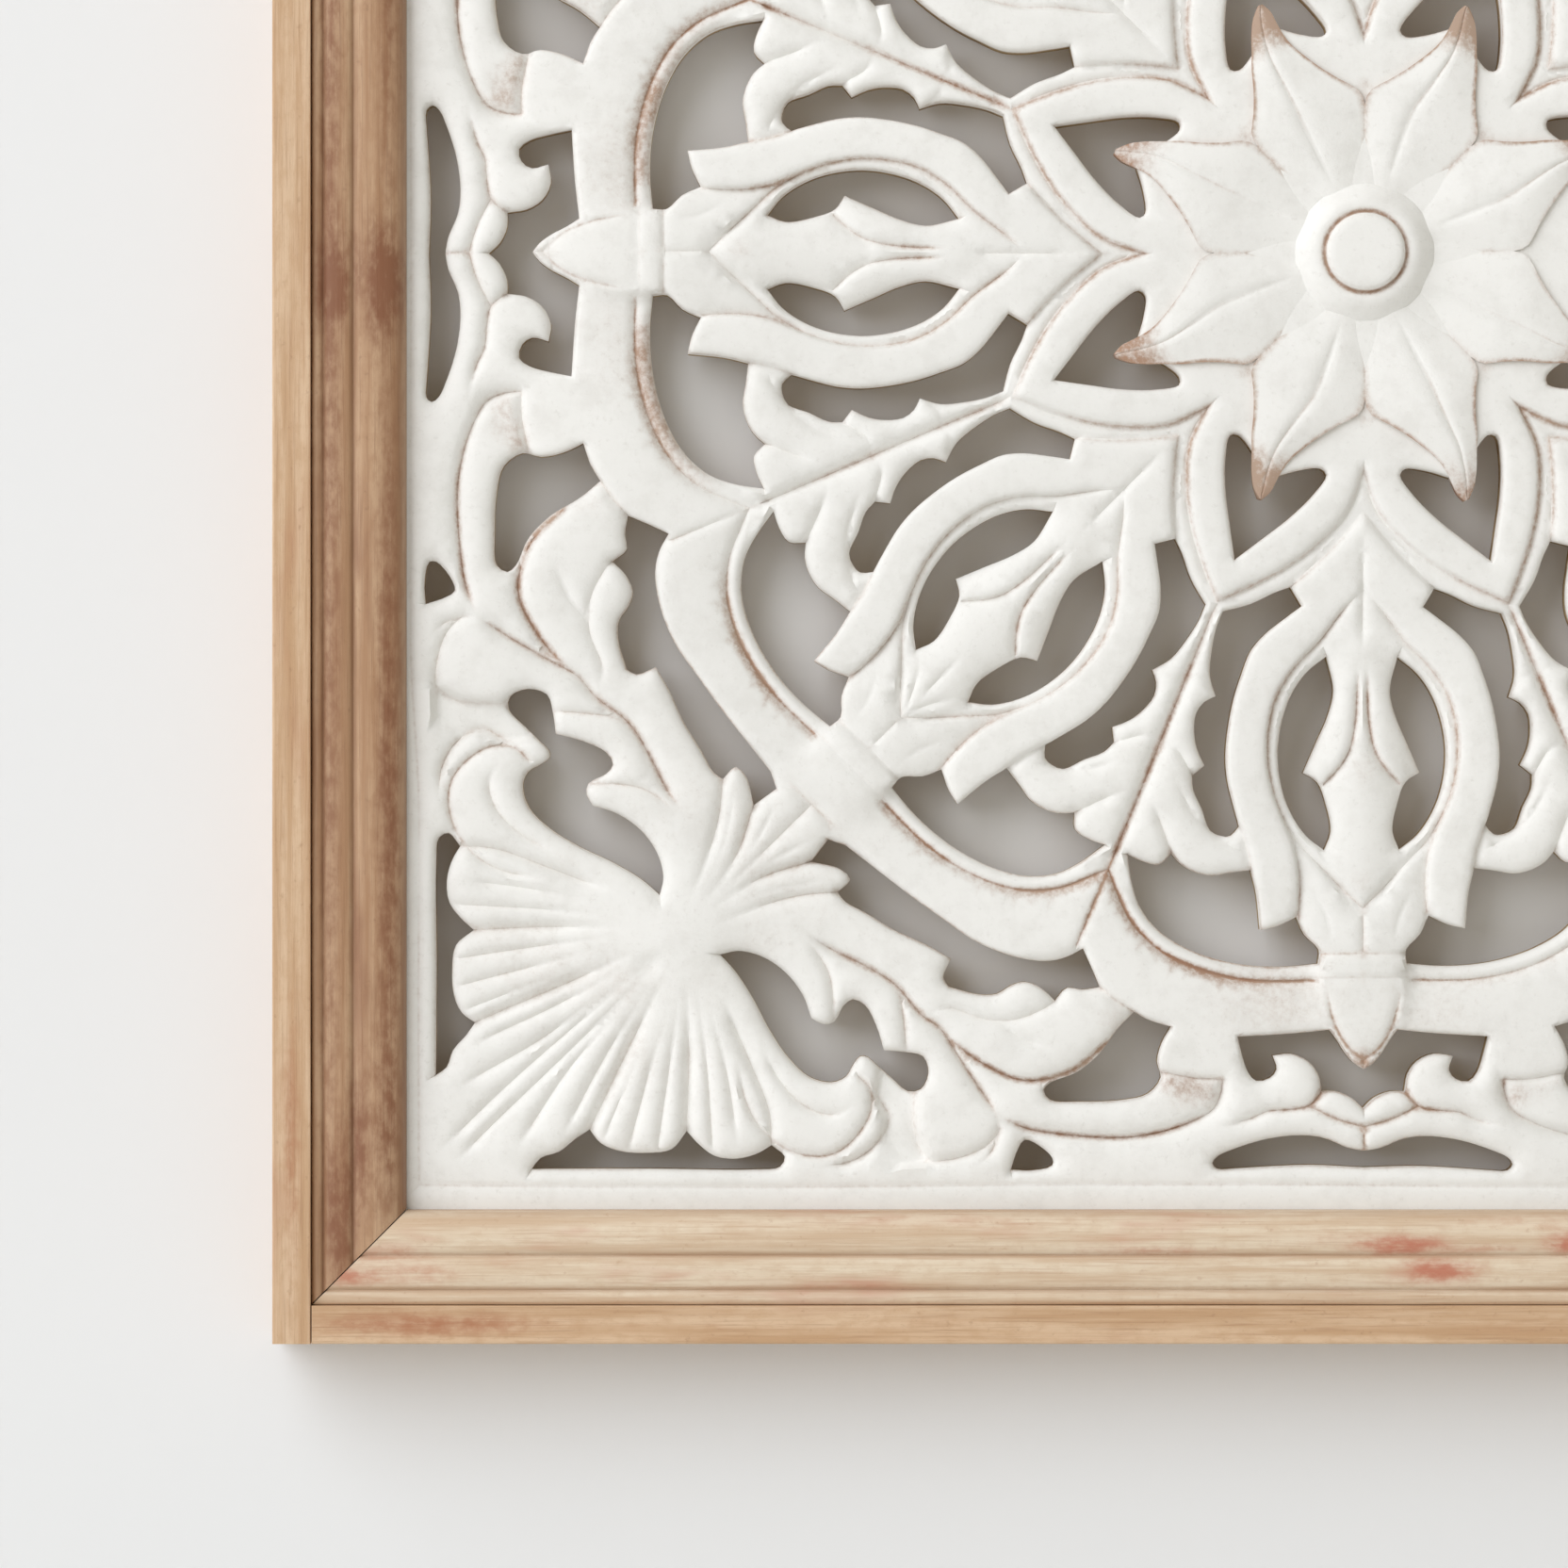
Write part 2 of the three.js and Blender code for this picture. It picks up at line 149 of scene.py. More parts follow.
# Openings outside the strap, drawn between the middle of a side and the corner
CORNER_OPENINGS = [
    [
        (141.8, 155.3, 1), (137.3, 156.8, 1), (129.3, 163), (120.5, 169.8), (111.8, 176),
        (103, 182), (93, 186), (84.3, 187.3), (78.8, 186.3), (74, 183.8, 1), (71.8, 188.5),
        (69.3, 194.3, 1), (74.3, 195), (78, 194.5), (81.3, 198, 1), (84.8, 194.8), (89.3, 193),
        (93, 194), (96.8, 196.3), (101.8, 196.5), (109.8, 194.5, 1), (111.3, 192),
        (109.3, 187, 1), (115.5, 183.5), (124.3, 179.5), (131.8, 175), (137.5, 171.8),
        (139.3, 169.3, 1), (136, 166), (138.5, 163.3), (146.3, 161.3, 1),
    ],
    [
        (84.3, 221.8), (82.5, 219.8), (75.5, 217), (69.3, 211.8), (64.8, 205.5),
        (60.3, 200.8, 1), (56.3, 203), (50.3, 204.8, 1), (52.8, 209.3), (54, 214.3),
        (53, 218.5), (56.3, 222.8), (63, 224.5), (74.3, 225), (82.5, 224.5),
    ],
    [(93, 243, 1), (91, 237.3), (89.3, 235), (85.5, 236.5), (81.8, 240), (81.8, 242), (87.3, 243.3)],
    [
        (218, 242.5, 1), (215.8, 239.5), (211.3, 237.8), (207.3, 234.3), (204, 232, 1),
        (201.3, 235.5), (196.8, 237.5), (189.8, 238), (183.3, 237), (179.3, 232.3, 1),
        (175.8, 236), (171.8, 238.8), (166.3, 239.5), (161, 238.3), (156.8, 236, 1),
        (153.3, 239), (154.5, 241.8), (161.8, 242.5), (189.3, 242.3),
    ],
    [
        (170.3, 186, 1), (165.5, 185), (159.3, 186.5), (153, 190.8), (148.5, 196.8),
        (146.3, 202.8, 1), (143.3, 204.3), (140.3, 203.8), (137.8, 199.5), (135.3, 197.8),
        (132, 199.5), (129, 205), (127, 211.3, 1), (121.3, 211.8), (116.5, 213), (115, 217.5),
        (117, 221.8), (120.5, 222.3), (124.8, 218.8), (129, 215.2), (131.2, 213.3), (133.2, 213),
        (135, 215), (137, 218.3), (140.8, 219.8), (146.8, 218.3), (152.3, 213.3),
        (157.3, 206), (161.8, 197.5), (166.3, 190.5),
    ],
]
# Openings that lie across the middle of a side, of which half is drawn
MIDDLE_OPENINGS = [
    [
        (0, 216.3), (2.3, 214.8), (4.8, 211.8), (6.8, 208.5), (8.8, 205.8, 1), (19.3, 206.8),
        (33, 207.5, 1), (31.8, 212.5), (30.3, 217), (28, 219.5), (24.3, 218.8), (22.5, 216.5),
        (23.5, 212.8, 1), (18.8, 212.3), (14.3, 214.3), (11.8, 217.8), (11, 222.3, 1),
        (7.3, 222.3), (3, 224), (0, 226.8),
    ],
    [
        (0, 237.8), (4.3, 237), (10.5, 234.5), (16.8, 233.8), (25.5, 234.8), (34.3, 237.5),
        (38.4, 239.4), (39.7, 241.2), (38.4, 242.8), (34, 242.8), (29.3, 242.5), (14.3, 241.8),
        (0, 242.3),
    ],
]

# Edges of the raised bands, drawn for half a lobe and carried a little past it
STAR_BAND = [(0, 58, 1), (4, 68.5), (10, 75.5), (18, 82), (27.5, 87.5), (38.3, 92.4, 1)]
STAR_BEAD = [(0, 69, 1), (8, 78.5), (14, 84.5), (18.8, 88.5), (29.3, 93.2), (39.6, 95.6, 1)]
LOOP_INNER = [
    (0, 89, 1), (5, 94.5), (11.5, 103), (17.8, 109.5), (22.5, 117), (24.6, 125), (25, 133),
    (23.5, 142), (20.5, 150), (17.8, 157), (16.5, 165), (16.8, 175.5, 1),
]
LOOP_OUTER = [
    (30, 181), (30, 170), (29.3, 163, 1), (30.2, 157.5), (32.3, 151.5, 1), (39, 145), (40.5, 136),
    (40.5, 128), (37, 112), (31, 98), (23, 90.5), (18.8, 88.5, 1),
]
STRAP_INNER = [
    (-12, 188.9), (0, 188.9), (11.5, 188.8), (19.3, 189), (28, 188.8), (36.8, 187.3),
    (45.5, 184.3), (53, 179.8), (58.5, 173.5), (61.6, 166.8), (65.4, 157.5),
]
STRAP_OUTER = [
    (0, 206.5), (19.3, 206.8), (33, 207.5), (50.3, 204.8), (60.3, 200.8), (69.3, 194.3),
    (75.8, 182.9),
]
SPEAR = [
    (0, 101), (5, 105), (8, 111), (8.5, 121), (12.5, 129), (15.8, 137.3), (11.5, 140),
    (9, 146), (8, 153), (10, 158.5), (7, 165), (1.8, 174), (0, 176),
]
STEM = [
    (0, 128), (3.4, 131.5), (6.3, 136.3), (10, 140.3), (9.5, 146), (8.5, 153), (10.5, 158.5),
    (7, 165), (1.8, 173), (0, 174),
]
BUD = [
    (0, 174), (2, 174), (11.8, 161), (17.3, 156), (16.6, 165), (16.8, 175.6), (14.9, 182),
    (11.5, 185), (11.5, 193), (11, 199), (9.8, 204.5), (8.3, 208.3), (5, 213), (0, 217),
]
# Flat bridge between the strap and the leaves of the border
TAB = [
    (33, 202), (32.2, 212), (33, 216, 1), (37, 218.8, 1), (44, 218.6), (51.8, 217.2, 1), (56, 216),
    (56, 209), (50.3, 202),
]

# Carved lines: points, depth in millimetres, half width, how much paint is rubbed off, and the
# ends at which the line fades out (s for its start, e for its end)
LOBE_LINES = [
    (STAR_BAND, 1.0, 1.3, 0.75, ""),
    (STAR_BEAD[:4], 0.9, 1.3, 0.5, ""),
    (LOOP_INNER, 0.9, 1.2, 0.6, "s"),
    ([(32.3, 151.5), (30.2, 157.5), (29.3, 163)], 0.9, 1.2, 0.4, ""),
    ([(20.9, 149), (17.3, 155.3), (12, 161), (6, 167.5), (0, 173.5)], 1.1, 1.2, 0.5, ""),
    ([(0, 73), (0, 107)], 0.8, 1.2, 0.15, "se"),
    ([(1.2, 108), (1.8, 124), (3.4, 131.5), (6.3, 136.3), (10, 140.3)], 1.1, 1.1, 0.75, "s"),
    ([(0, 173.5), (0, 185)], 0.8, 1.0, 0.4, ""),
    ([(11.5, 185.5), (0, 185.5)], 0.8, 1.0, 0.4, ""),
    ([(11.4, 191.8), (0, 191.8)], 0.5, 1.0, 0.25, ""),
    ([(13.8, 168), (9.5, 176), (8.2, 184)], 0.4, 0.9, 0.15, "se"),
    # teeth of the split leaf
    ([(45, 138), (49.5, 131), (53.8, 129.9)], 0.7, 1.4, 0.1, "e"),
    ([(38.8, 117.3), (42.5, 112), (46.3, 111.8)], 0.6, 1.3, 0.1, "e"),
    ([(50.5, 158.5), (54.5, 148), (57.6, 143)], 0.8, 1.6, 0.15, "e"),
    ([(34.4, 157), (43, 150.5), (50.5, 137)], 0.7, 1.6, 0.12, "e"),
]
AXIS_LINES = [
    # edge of the face on the tip of the bud
    ([(9.8, 192.5), (9.2, 198), (7.7, 204), (4.7, 209.8), (0, 214)], 0.8, 1.0, 0.6, "s"),
]
DIAGONAL_LINES = [
    # veins of the leaf at the foot of the spear
    ([(0.4, 171.5), (3.6, 164.5), (8.4, 157.5)], 0.75, 1.2, 0.15, "e"),
    ([(0, 171), (0, 149)], 0.6, 1.1, 0.1, "se"),
]
BEND_LINES = [
    # vein of the split leaf and the overlap of the strap, from one distance to another
    (103.5, 171, 1.3, 1.5, 0.85, ""),
    (171, 198, 0.7, 1.1, 0.8, ""),
]
CORNER_LINES = [
    # branch, its fingers and the leaves that hang from it
    (
        [(149, 179), (142, 184), (132, 189), (124, 194), (117, 202), (112, 205.5), (107, 213),
         (102, 220.5), (97, 228), (96, 232)],
        1.2, 1.4, 0.6, "se",
    ),
    ([(150, 181), (146.8, 183), (141.8, 190.5), (140.5, 198), (140.5, 203.5)], 0.8, 1.2, 0.45, "s"),
    ([(128, 191.5), (123, 197), (121.8, 203), (121, 211)], 0.8, 1.2, 0.4, "s"),
    ([(117, 202), (110, 200), (100, 203), (91.8, 203), (84.3, 200), (81.3, 198)], 0.7, 1.4, 0.2, "s"),
    (
        [(112, 205.5), (106.8, 210.5), (99.3, 215.5), (89.3, 219.3), (76.8, 216.5), (67.8, 209.4)],
        1.2, 1.3, 0.9, "s",
    ),
    ([(100, 199.5), (92, 207), (80, 211.5)], 0.6, 1.6, 0.1, "se"),
    (
        [(97, 228), (89.3, 231.8), (76.8, 233.8), (61.8, 234.3), (51.8, 232.5), (44.3, 229.8),
         (39.3, 226.8), (37.2, 222), (37, 218.8)],
        1.2, 1.3, 0.85, "s",
    ),
    (
        [(39.3, 231.8), (29.3, 229.3), (25.5, 227.5), (19.3, 227), (14.3, 226), (11, 222.5)],
        1.0, 1.2, 0.8, "s",
    ),
    ([(14.3, 226), (7, 229.5), (0, 231.5)], 0.9, 1.2, 0.6, ""),
    ([(0, 231.5), (0, 237.6)], 0.7, 1.0, 0.7, ""),
    ([(117, 215), (119, 226), (117, 238), (110, 243)], 1.0, 1.6, 0.3, "se"),
    ([(127, 217), (129, 222), (125.5, 229), (129, 236), (136, 240.5), (146, 241.5)], 1.2, 1.4, 0.35, "se"),
    ([(96, 232), (98, 238), (103, 242)], 0.8, 1.3, 0.4, "e"),
    # scroll beside the shell
    (
        [(166, 213), (163.4, 225), (158.6, 232.7), (151.8, 237.5), (144, 239), (138.4, 237.5),
         (133.5, 233), (130.3, 227), (130.8, 221), (133.6, 218.3)],
        0.9, 1.1, 0.55, "s",
    ),
    (
        [(160, 209), (154.3, 219.5), (146.8, 226.5), (139.3, 228), (134, 224.5)],
        0.8, 1.3, 0.3, "se",
    ),
    ([(170, 197), (163, 213), (157.5, 227), (156.8, 236)], 1.1, 1.4, 0.35, "s"),
    # outer edge of the scroll and of the leaf beside it
    ([(122.3, 241), (108, 240), (100, 237), (96.4, 233.5)], 0.9, 1.3, 0.3, "s"),
    # ribs of the shell, the deeper ones between its lobes
    ([(179.2, 193), (178.6, 212), (179.3, 232.3)], 1.3, 1.8, 0.35, "S"),
    ([(184.5, 191), (193, 208), (204, 232)], 1.3, 1.8, 0.35, "S"),
    ([(176.5, 195), (174, 214), (172.4, 237)], 0.75, 1.4, 0.25, "S"),
    ([(173.8, 198), (168.8, 216), (165.6, 237)], 0.75, 1.4, 0.25, "Se"),
    ([(180.8, 195), (183.2, 212), (186.8, 236)], 0.75, 1.4, 0.25, "S"),
    ([(184, 201), (188.2, 214), (194.3, 236.5)], 0.75, 1.4, 0.25, "S"),
    ([(189.5, 206.5), (194.5, 219), (200.4, 234)], 0.6, 1.2, 0.2, "S"),
    ([(188, 193.5), (199, 211), (211, 235)], 0.85, 1.5, 0.25, "Se"),
    ([(193, 197), (208, 215), (222, 238)], 0.85, 1.5, 0.3, "Se"),
    ([(190, 191.5), (214, 217), (238, 241.5)], 0.8, 1.5, 0.2, "Se"),
    # fingers of the shell that reach for the strap
    ([(173, 179), (161.8, 174), (150, 170.5), (139.3, 169.3)], 1.0, 1.4, 0.3, "S"),
    ([(172.5, 174), (159, 165.5), (146.3, 161.3)], 1.1, 1.5, 0.35, "S"),
    ([(172, 172), (160, 160), (147, 147)], 0.7, 1.5, 0.2, "S"),
    ([(170, 176), (158, 169.5), (139, 166)], 0.4, 1.2, 0.15, "Se"),
    ([(171, 172.6), (158, 162), (143, 154)], 0.35, 1.2, 0.1, "Se"),
    # outer edge of the strap where leaves and fingers meet it
    ([(60.3, 200.8), (65, 197.8), (69.3, 194.3)], 0.9, 1.1, 0.35, ""),
    ([(146, 146), (141.8, 150.2)], 0.8, 1.1, 0.3, ""),
    # foot of the bridge
    ([(37, 218.8), (44, 218.6), (51.8, 217.2), (53.4, 217)], 1.1, 1.0, 0.6, ""),
    # faint line along the plain margin
    ([(0, 246.7), (120, 246.9), (246.8, 246.8)], 0.45, 1.0, 0.3, ""),
]
# Hollow between the branch and the scroll
CORNER_HOLLOW = [
    (128, 213.5), (119.5, 222), (118.5, 232), (114, 241), (128, 242), (126.5, 231), (129.5, 223),
]
# Places outside the strap that rise or sink, such as the shell's hub: place, reach, millimetres
SWELLINGS = [((44, 224), (9, 4), -1.2), ((180.5, 180.5), (16, 16), 1.7), ((189.2, 189.2), (2.4, 2.4), -1.4)]
# Brown places: rubbed through to brown, painted shade in the notches between the petals (the two at 43 from
# the middle), and wide ones that tint the paint a little: place, reach, strength
BROWN_PATCHES = [
    ((50.5, 219.8), 3.2, 1.0), ((46.5, 221.8), 4.4, 1.1), ((41, 223), 4.2, 1.1), ((0, 43), 3.2, 0.55),
    ((30.4, 30.4), 3.2, 0.55), ((0, 214.5), 3.5, 0.7), ((66.5, 203), 5, 0.3), ((0, 137), 5, 0.45),
    ((0, 166), 4, 0.4), ((185, 190), 55, 0.3), ((22, 198), 20, 0.28),
]


def cubic(t, start, end, slope_out, slope_in):
    """Cubic from start to end, for t from 0 to 1, with the given slopes where it leaves and arrives."""
    return (
        (2 * t**3 - 3 * t**2 + 1) * start + (t**3 - 2 * t**2 + t) * slope_out
        + (3 * t**2 - 2 * t**3) * end + (t**3 - t**2) * slope_in
    )


def smooth_line(marked, spacing, closed=False):
    """Points along a curve through the marked ones. Between two points it is a cubic whose slope at
    each end is the centripetal Catmull-Rom slope; a sharp corner ends one curve and starts another."""
    points = [np.array(mark[:2], float) for mark in marked]
    sharp = [len(mark) > 2 for mark in marked]
    if closed:
        first = sharp.index(True) if True in sharp else 0
        points = points[first:] + points[:first] + [points[first]]
        sharp = sharp[first:] + sharp[:first] + [True]
    ring = closed and not any(len(mark) > 2 for mark in marked)
    ends = [0] + [i for i in range(1, len(points) - 1) if sharp[i]] + [len(points) - 1]
    out = []
    for start, stop in zip(ends[:-1], ends[1:]):
        run = points[start:stop + 1]
        before = run[-2] if ring else 2 * run[0] - run[1]
        after = run[1] if ring else 2 * run[-1] - run[-2]
        path = np.array([before, *run, after])
        gaps = np.maximum(np.sqrt(np.linalg.norm(np.diff(path, axis=0), axis=1)), 1e-6)[:, None]
        slopes = np.diff(path, axis=0) / gaps
        wide = (path[2:] - path[:-2]) / (gaps[:-1] + gaps[1:])
        tangent = slopes[:-1] - wide + slopes[1:]
        for i in range(len(run) - 1):
            p, q = run[i], run[i + 1]
            steps = max(1, int(math.ceil(np.linalg.norm(q - p) / spacing)))
            t = (np.arange(steps) / steps)[:, None]
            out.append(cubic(t, p, q, tangent[i] * gaps[i + 1], tangent[i + 1] * gaps[i + 1]))
    line = np.concatenate(out)
    return line if closed else np.vstack([line, points[-1]])


def bend(points):
    """Mirror image in the ray between an axis lobe and a diagonal one: the angle t becomes 45 - t."""
    a, r = np.asarray(points, float).T
    s, c = math.sin(EIGHTH), math.cos(EIGHTH)
    return np.column_stack([s * r - c * a, c * r + s * a])


def fold(points):
    """Points brought to the half lobe beside the axis: those past 22.5 degrees are mirrored back."""
    past = points[:, 0] > points[:, 1] * math.tan(EIGHTH / 2)
    return np.where(past[:, None], bend(points), points), past


def distance(points, line):
    """Distance from each point to a polyline: the least over its segments, each clamped at its
    ends. Also gives how far along the line the nearest place is, from 0 to the line's length."""
    start, step = line[:-1], np.diff(line, axis=0)
    length = np.linalg.norm(step, axis=1)
    along = np.concatenate([[0], np.cumsum(length)])[:-1]
    best = np.full(len(points), FAR)
    place = np.zeros(len(points))
    low, high = line.min(axis=0) - NEAR_LINE, line.max(axis=0) + NEAR_LINE
    near = np.flatnonzero(((points > low) & (points < high)).all(axis=1))
    for chunk in np.array_split(near, len(near) * len(step) // AT_ONCE + 1):
        if not len(chunk):
            continue
        offset = points[chunk, None, :] - start[None]
        t = np.clip((offset * step).sum(2) / np.maximum(length**2, 1e-12), 0, 1)
        away = np.linalg.norm(offset - t[..., None] * step, axis=2)
        pick = away.argmin(axis=1)
        rows = np.arange(len(chunk))
        best[chunk] = away[rows, pick]
        place[chunk] = along[pick] + t[rows, pick] * length[pick]
    return best, place


def inside(points, ring):
    """Whether each point lies in a closed outline: a ray to the right crosses it an odd number of
    times."""
    result = np.zeros(len(points), bool)
    low, high = ring.min(axis=0), ring.max(axis=0)
    near = np.flatnonzero(((points >= low) & (points <= high)).all(axis=1))
    if len(near):
        x, y = points[near, 0][:, None], points[near, 1][:, None]
        p, q = ring, np.roll(ring, -1, axis=0)
        rise = np.where(q[:, 1] == p[:, 1], 1e-12, q[:, 1] - p[:, 1])
        passes = (p[:, 1] > y) != (q[:, 1] > y)
        crosses = passes & (x < p[:, 0] + (y - p[:, 1]) * (q[:, 0] - p[:, 0]) / rise)
        result[near] = crosses.sum(axis=1) % 2 == 1
    return result


def ramp(values, low, high):
    """Smooth step: 0 below low, 1 above high, 3t^2 - 2t^3 between."""
    t = np.clip((values - low) / (high - low), 0, 1)
    return t * t * (3 - 2 * t)


def mound(points, *parts, soft=0.6):
    """1 inside the closed outline that the parts make together and 0 outside, with a smooth step of
    the signed distance across it."""
    ring = np.vstack(parts)
    away, _ = distance(points, np.vstack([ring, ring[:1]]))
    signed = np.where(inside(points, ring), away, -away)
    return ramp(signed, -soft, soft)


def all_openings():
    """The outlines of the openings in one wedge of the board, closed or ending on its middle line."""
    star = smooth_line(STAR_OPENING, SAMPLE)
    openings = [np.vstack([star, bend(star)[-2:0:-1]])]
    for marked in LOBE_OPENINGS:
        ring = smooth_line(marked, SAMPLE, closed=True)
        openings += [ring, bend(ring)]
    openings += [smooth_line(marked, SAMPLE, closed=True) for marked in CORNER_OPENINGS]
    openings += [smooth_line(marked, SAMPLE) for marked in MIDDLE_OPENINGS]
    return openings


def all_lines():
    """The carved lines of one wedge, each with its depth, half width, rub and fading ends."""
    lines = []
    for marked, *rest in LOBE_LINES:
        line = smooth_line(marked, SAMPLE_LINE)
        lines += [(line, *rest), (bend(line), *rest)]
    for near, far, *rest in BEND_LINES:
        steps = np.linspace(near, far, int((far - near) / SAMPLE_LINE) + 1)[:, None]
        lines.append((steps * np.array([[math.sin(EIGHTH / 2), math.cos(EIGHTH / 2)]]), *rest))
    lines += [(smooth_line(marked, SAMPLE_LINE), *rest) for marked, *rest in AXIS_LINES + CORNER_LINES]
    lines += [(bend(smooth_line(marked, SAMPLE_LINE)), *rest) for marked, *rest in DIAGONAL_LINES]
    groove = beside(smooth_line(STRAP_INNER, SAMPLE_LINE), STRAP_GROOVE)
    groove = groove[(groove[:, 0] > 11.6) & ~fold(groove)[1]]
    lines += [(groove, 1.1, 1.0, 0.85, ""), (bend(groove), 1.1, 1.0, 0.85, "")]
    return lines


def beside(line, width):
    """A line moved to its left by a width, along its normals."""
    way = np.gradient(line, axis=0)
    way /= np.maximum(np.linalg.norm(way, axis=1), 1e-9)[:, None]
    return line + width * way[:, ::-1] * np.array([-1, 1])


def fade(place, length, ends):
    """How strong a carved line is along its length: it rises from 0 to 1 over its fading ends, and
    over a longer way at a start marked with a capital letter."""
    reach = min(9.0, length / 2)
    strength = np.ones_like(place)
    if "s" in ends:
        strength *= ramp(place, 0, reach)
    if "S" in ends:
        strength *= ramp(place, -2, min(22.0, length * 0.7))
    if "e" in ends:
        strength *= ramp(length - place, 0, reach)
    return strength


def cut_lines(points, openings, lines):
    """For each point: the distance to the nearest opening, the distance to the nearest crease of any
    kind, how deep the carved lines cut in, and how much they are rubbed. A line is a V with a
    rounded bottom. A shallow line, or the fading end of one, counts as a crease farther away."""
    edge = np.full(len(points), FAR)
    for ring in openings:
        closed = ring if ring[0, 0] < 1e-6 else np.vstack([ring, ring[:1]])
        edge = np.minimum(edge, distance(points, closed)[0])
    cuts, rub, crease = np.zeros(len(points)), np.zeros(len(points)), edge.copy()
    for line, depth, width, worn, ends in lines:
        away, place = distance(points, line)
        strength = fade(place, np.linalg.norm(np.diff(line, axis=0), axis=1).sum(), ends)
        wedge = np.clip(1 - away / (CUT_REACH * width), 0, 1)**CUT_POWER * strength
        cuts = np.maximum(cuts, depth * wedge)
        rub = np.maximum(rub, worn * np.clip(1.1 - away / (CUT_RUB_REACH * width), 0, 1) * strength)
        crease = np.minimum(crease, away + (1 - strength) * 9 + (1.2 - depth) * 3.2)
    return edge, crease, cuts, rub


def behind(*places):
    """Points behind the middle line, where an outline that crosses it is closed."""
    return [(PAST_MIDDLE, place) for place in places]


def lobe_forms(q):
    """How far each point lies in each raised form of a lobe, from 0 outside to 1 inside, by name."""
    star, bead, loop, loop_out, spear, bud, strap, strap_out, stem = (
        smooth_line(marked, SAMPLE_FORM) for marked in (
            STAR_BAND, STAR_BEAD, LOOP_INNER, LOOP_OUTER, SPEAR, BUD, STRAP_INNER, STRAP_OUTER, STEM))
    past_ray, strap_end = [(60, 60)], [(65.4, 157.5), (80, 193)]
    return {
        "bead": mound(q, behind(0, 69), bead, past_ray),
        "loop": mound(q, behind(69, 89), loop, loop_out, STAR_BEAD[2:0:-1], [(0, 69)]),
        "inside": mound(q, behind(175.5, 89), loop),
        "spear": mound(q, behind(101), spear, behind(176)),
        "star": np.maximum(mound(q, behind(0), star[1:], past_ray), ramp(58 - q[:, 1], -1, 1)),
        "strap": mound(q, strap[:-1], strap_end, strap_out[-2::-1], [(-12, 206.5)]),
        "stem": mound(q, behind(128), stem, behind(174)),
        "bud": mound(q, behind(174), bud, behind(217)),
        "within": mound(q, behind(0, 206.5), strap_out, [strap_end[1], (80, 0)], soft=1.0),
    }


def lobe_height(q, past, swell, forms, from_strap):
    """Height inside the scalloped strap: leafy ground, and over it one form after the other, each
    with its own level; then the stem is sunk, and the domed bud crosses the strap."""
    a, r = q.T
    slope = np.interp(from_strap, *np.array(STRAP_SLOPE).T)
    inside_ends = 0.6 * ramp(r, 150, 172) + 1.4 * (1 - ramp(r, 92, 114))
    levels = {
        "bead": LEVEL_BEAD + 0.5 * swell,
        "loop": LEVEL_LOOP + 0.35 * swell,
        "inside": LEVEL_LOOP_INSIDE + 0.9 * swell + inside_ends,
        "spear": LEVEL_SPEAR + 0.9 * swell - 0.02 * a**2 + 0.7 * ramp(r, 142, 176),
        "star": LEVEL_STAR + 0.3 * swell,
        "strap": LEVEL_STRAP + slope,
    }
    height = LEVEL_LEAF + 1.65 * swell
    for name, level in levels.items():
        height = height + (level - height) * forms[name]
    height = height - 0.9 * forms["stem"] * (1 - ramp(r, 138, 168))
    dome = LEVEL_BUD - 1.1 * np.clip(a / 12, 0, 1.3)**2 - 1.6 * ramp(r, 200, 217)
    dome = dome - 1.1 * (1 - ramp(r, 162, 184)) + 0.45 * ramp(r, 184.6, 185.4) * (1 - ramp(r, 191.6, 192.4))
    return height + (dome - height) * forms["bud"] * np.where(past, 1 - ramp(r, 194, 206), 1)


def border_height(points, swell):
    """Height outside the scalloped strap: leafy ground with its swellings and its hollow, and the
    plain margin."""
    a, r = points.T
    height = LEVEL_SIDE + 1.7 * swell
    for (x, y), (wide, long), rise in SWELLINGS:
        height = height + rise * np.exp(-((a - x) / wide)**2 - ((r - y) / long)**2)
    height = height + (LEVEL_HOLLOW - height) * mound(points, CORNER_HOLLOW, soft=1.2)
    margin = LEVEL_BORDER + 0.1 * np.cos(a / 9)
    return height + (margin - height) * ramp(r, 242.2, 244.6)


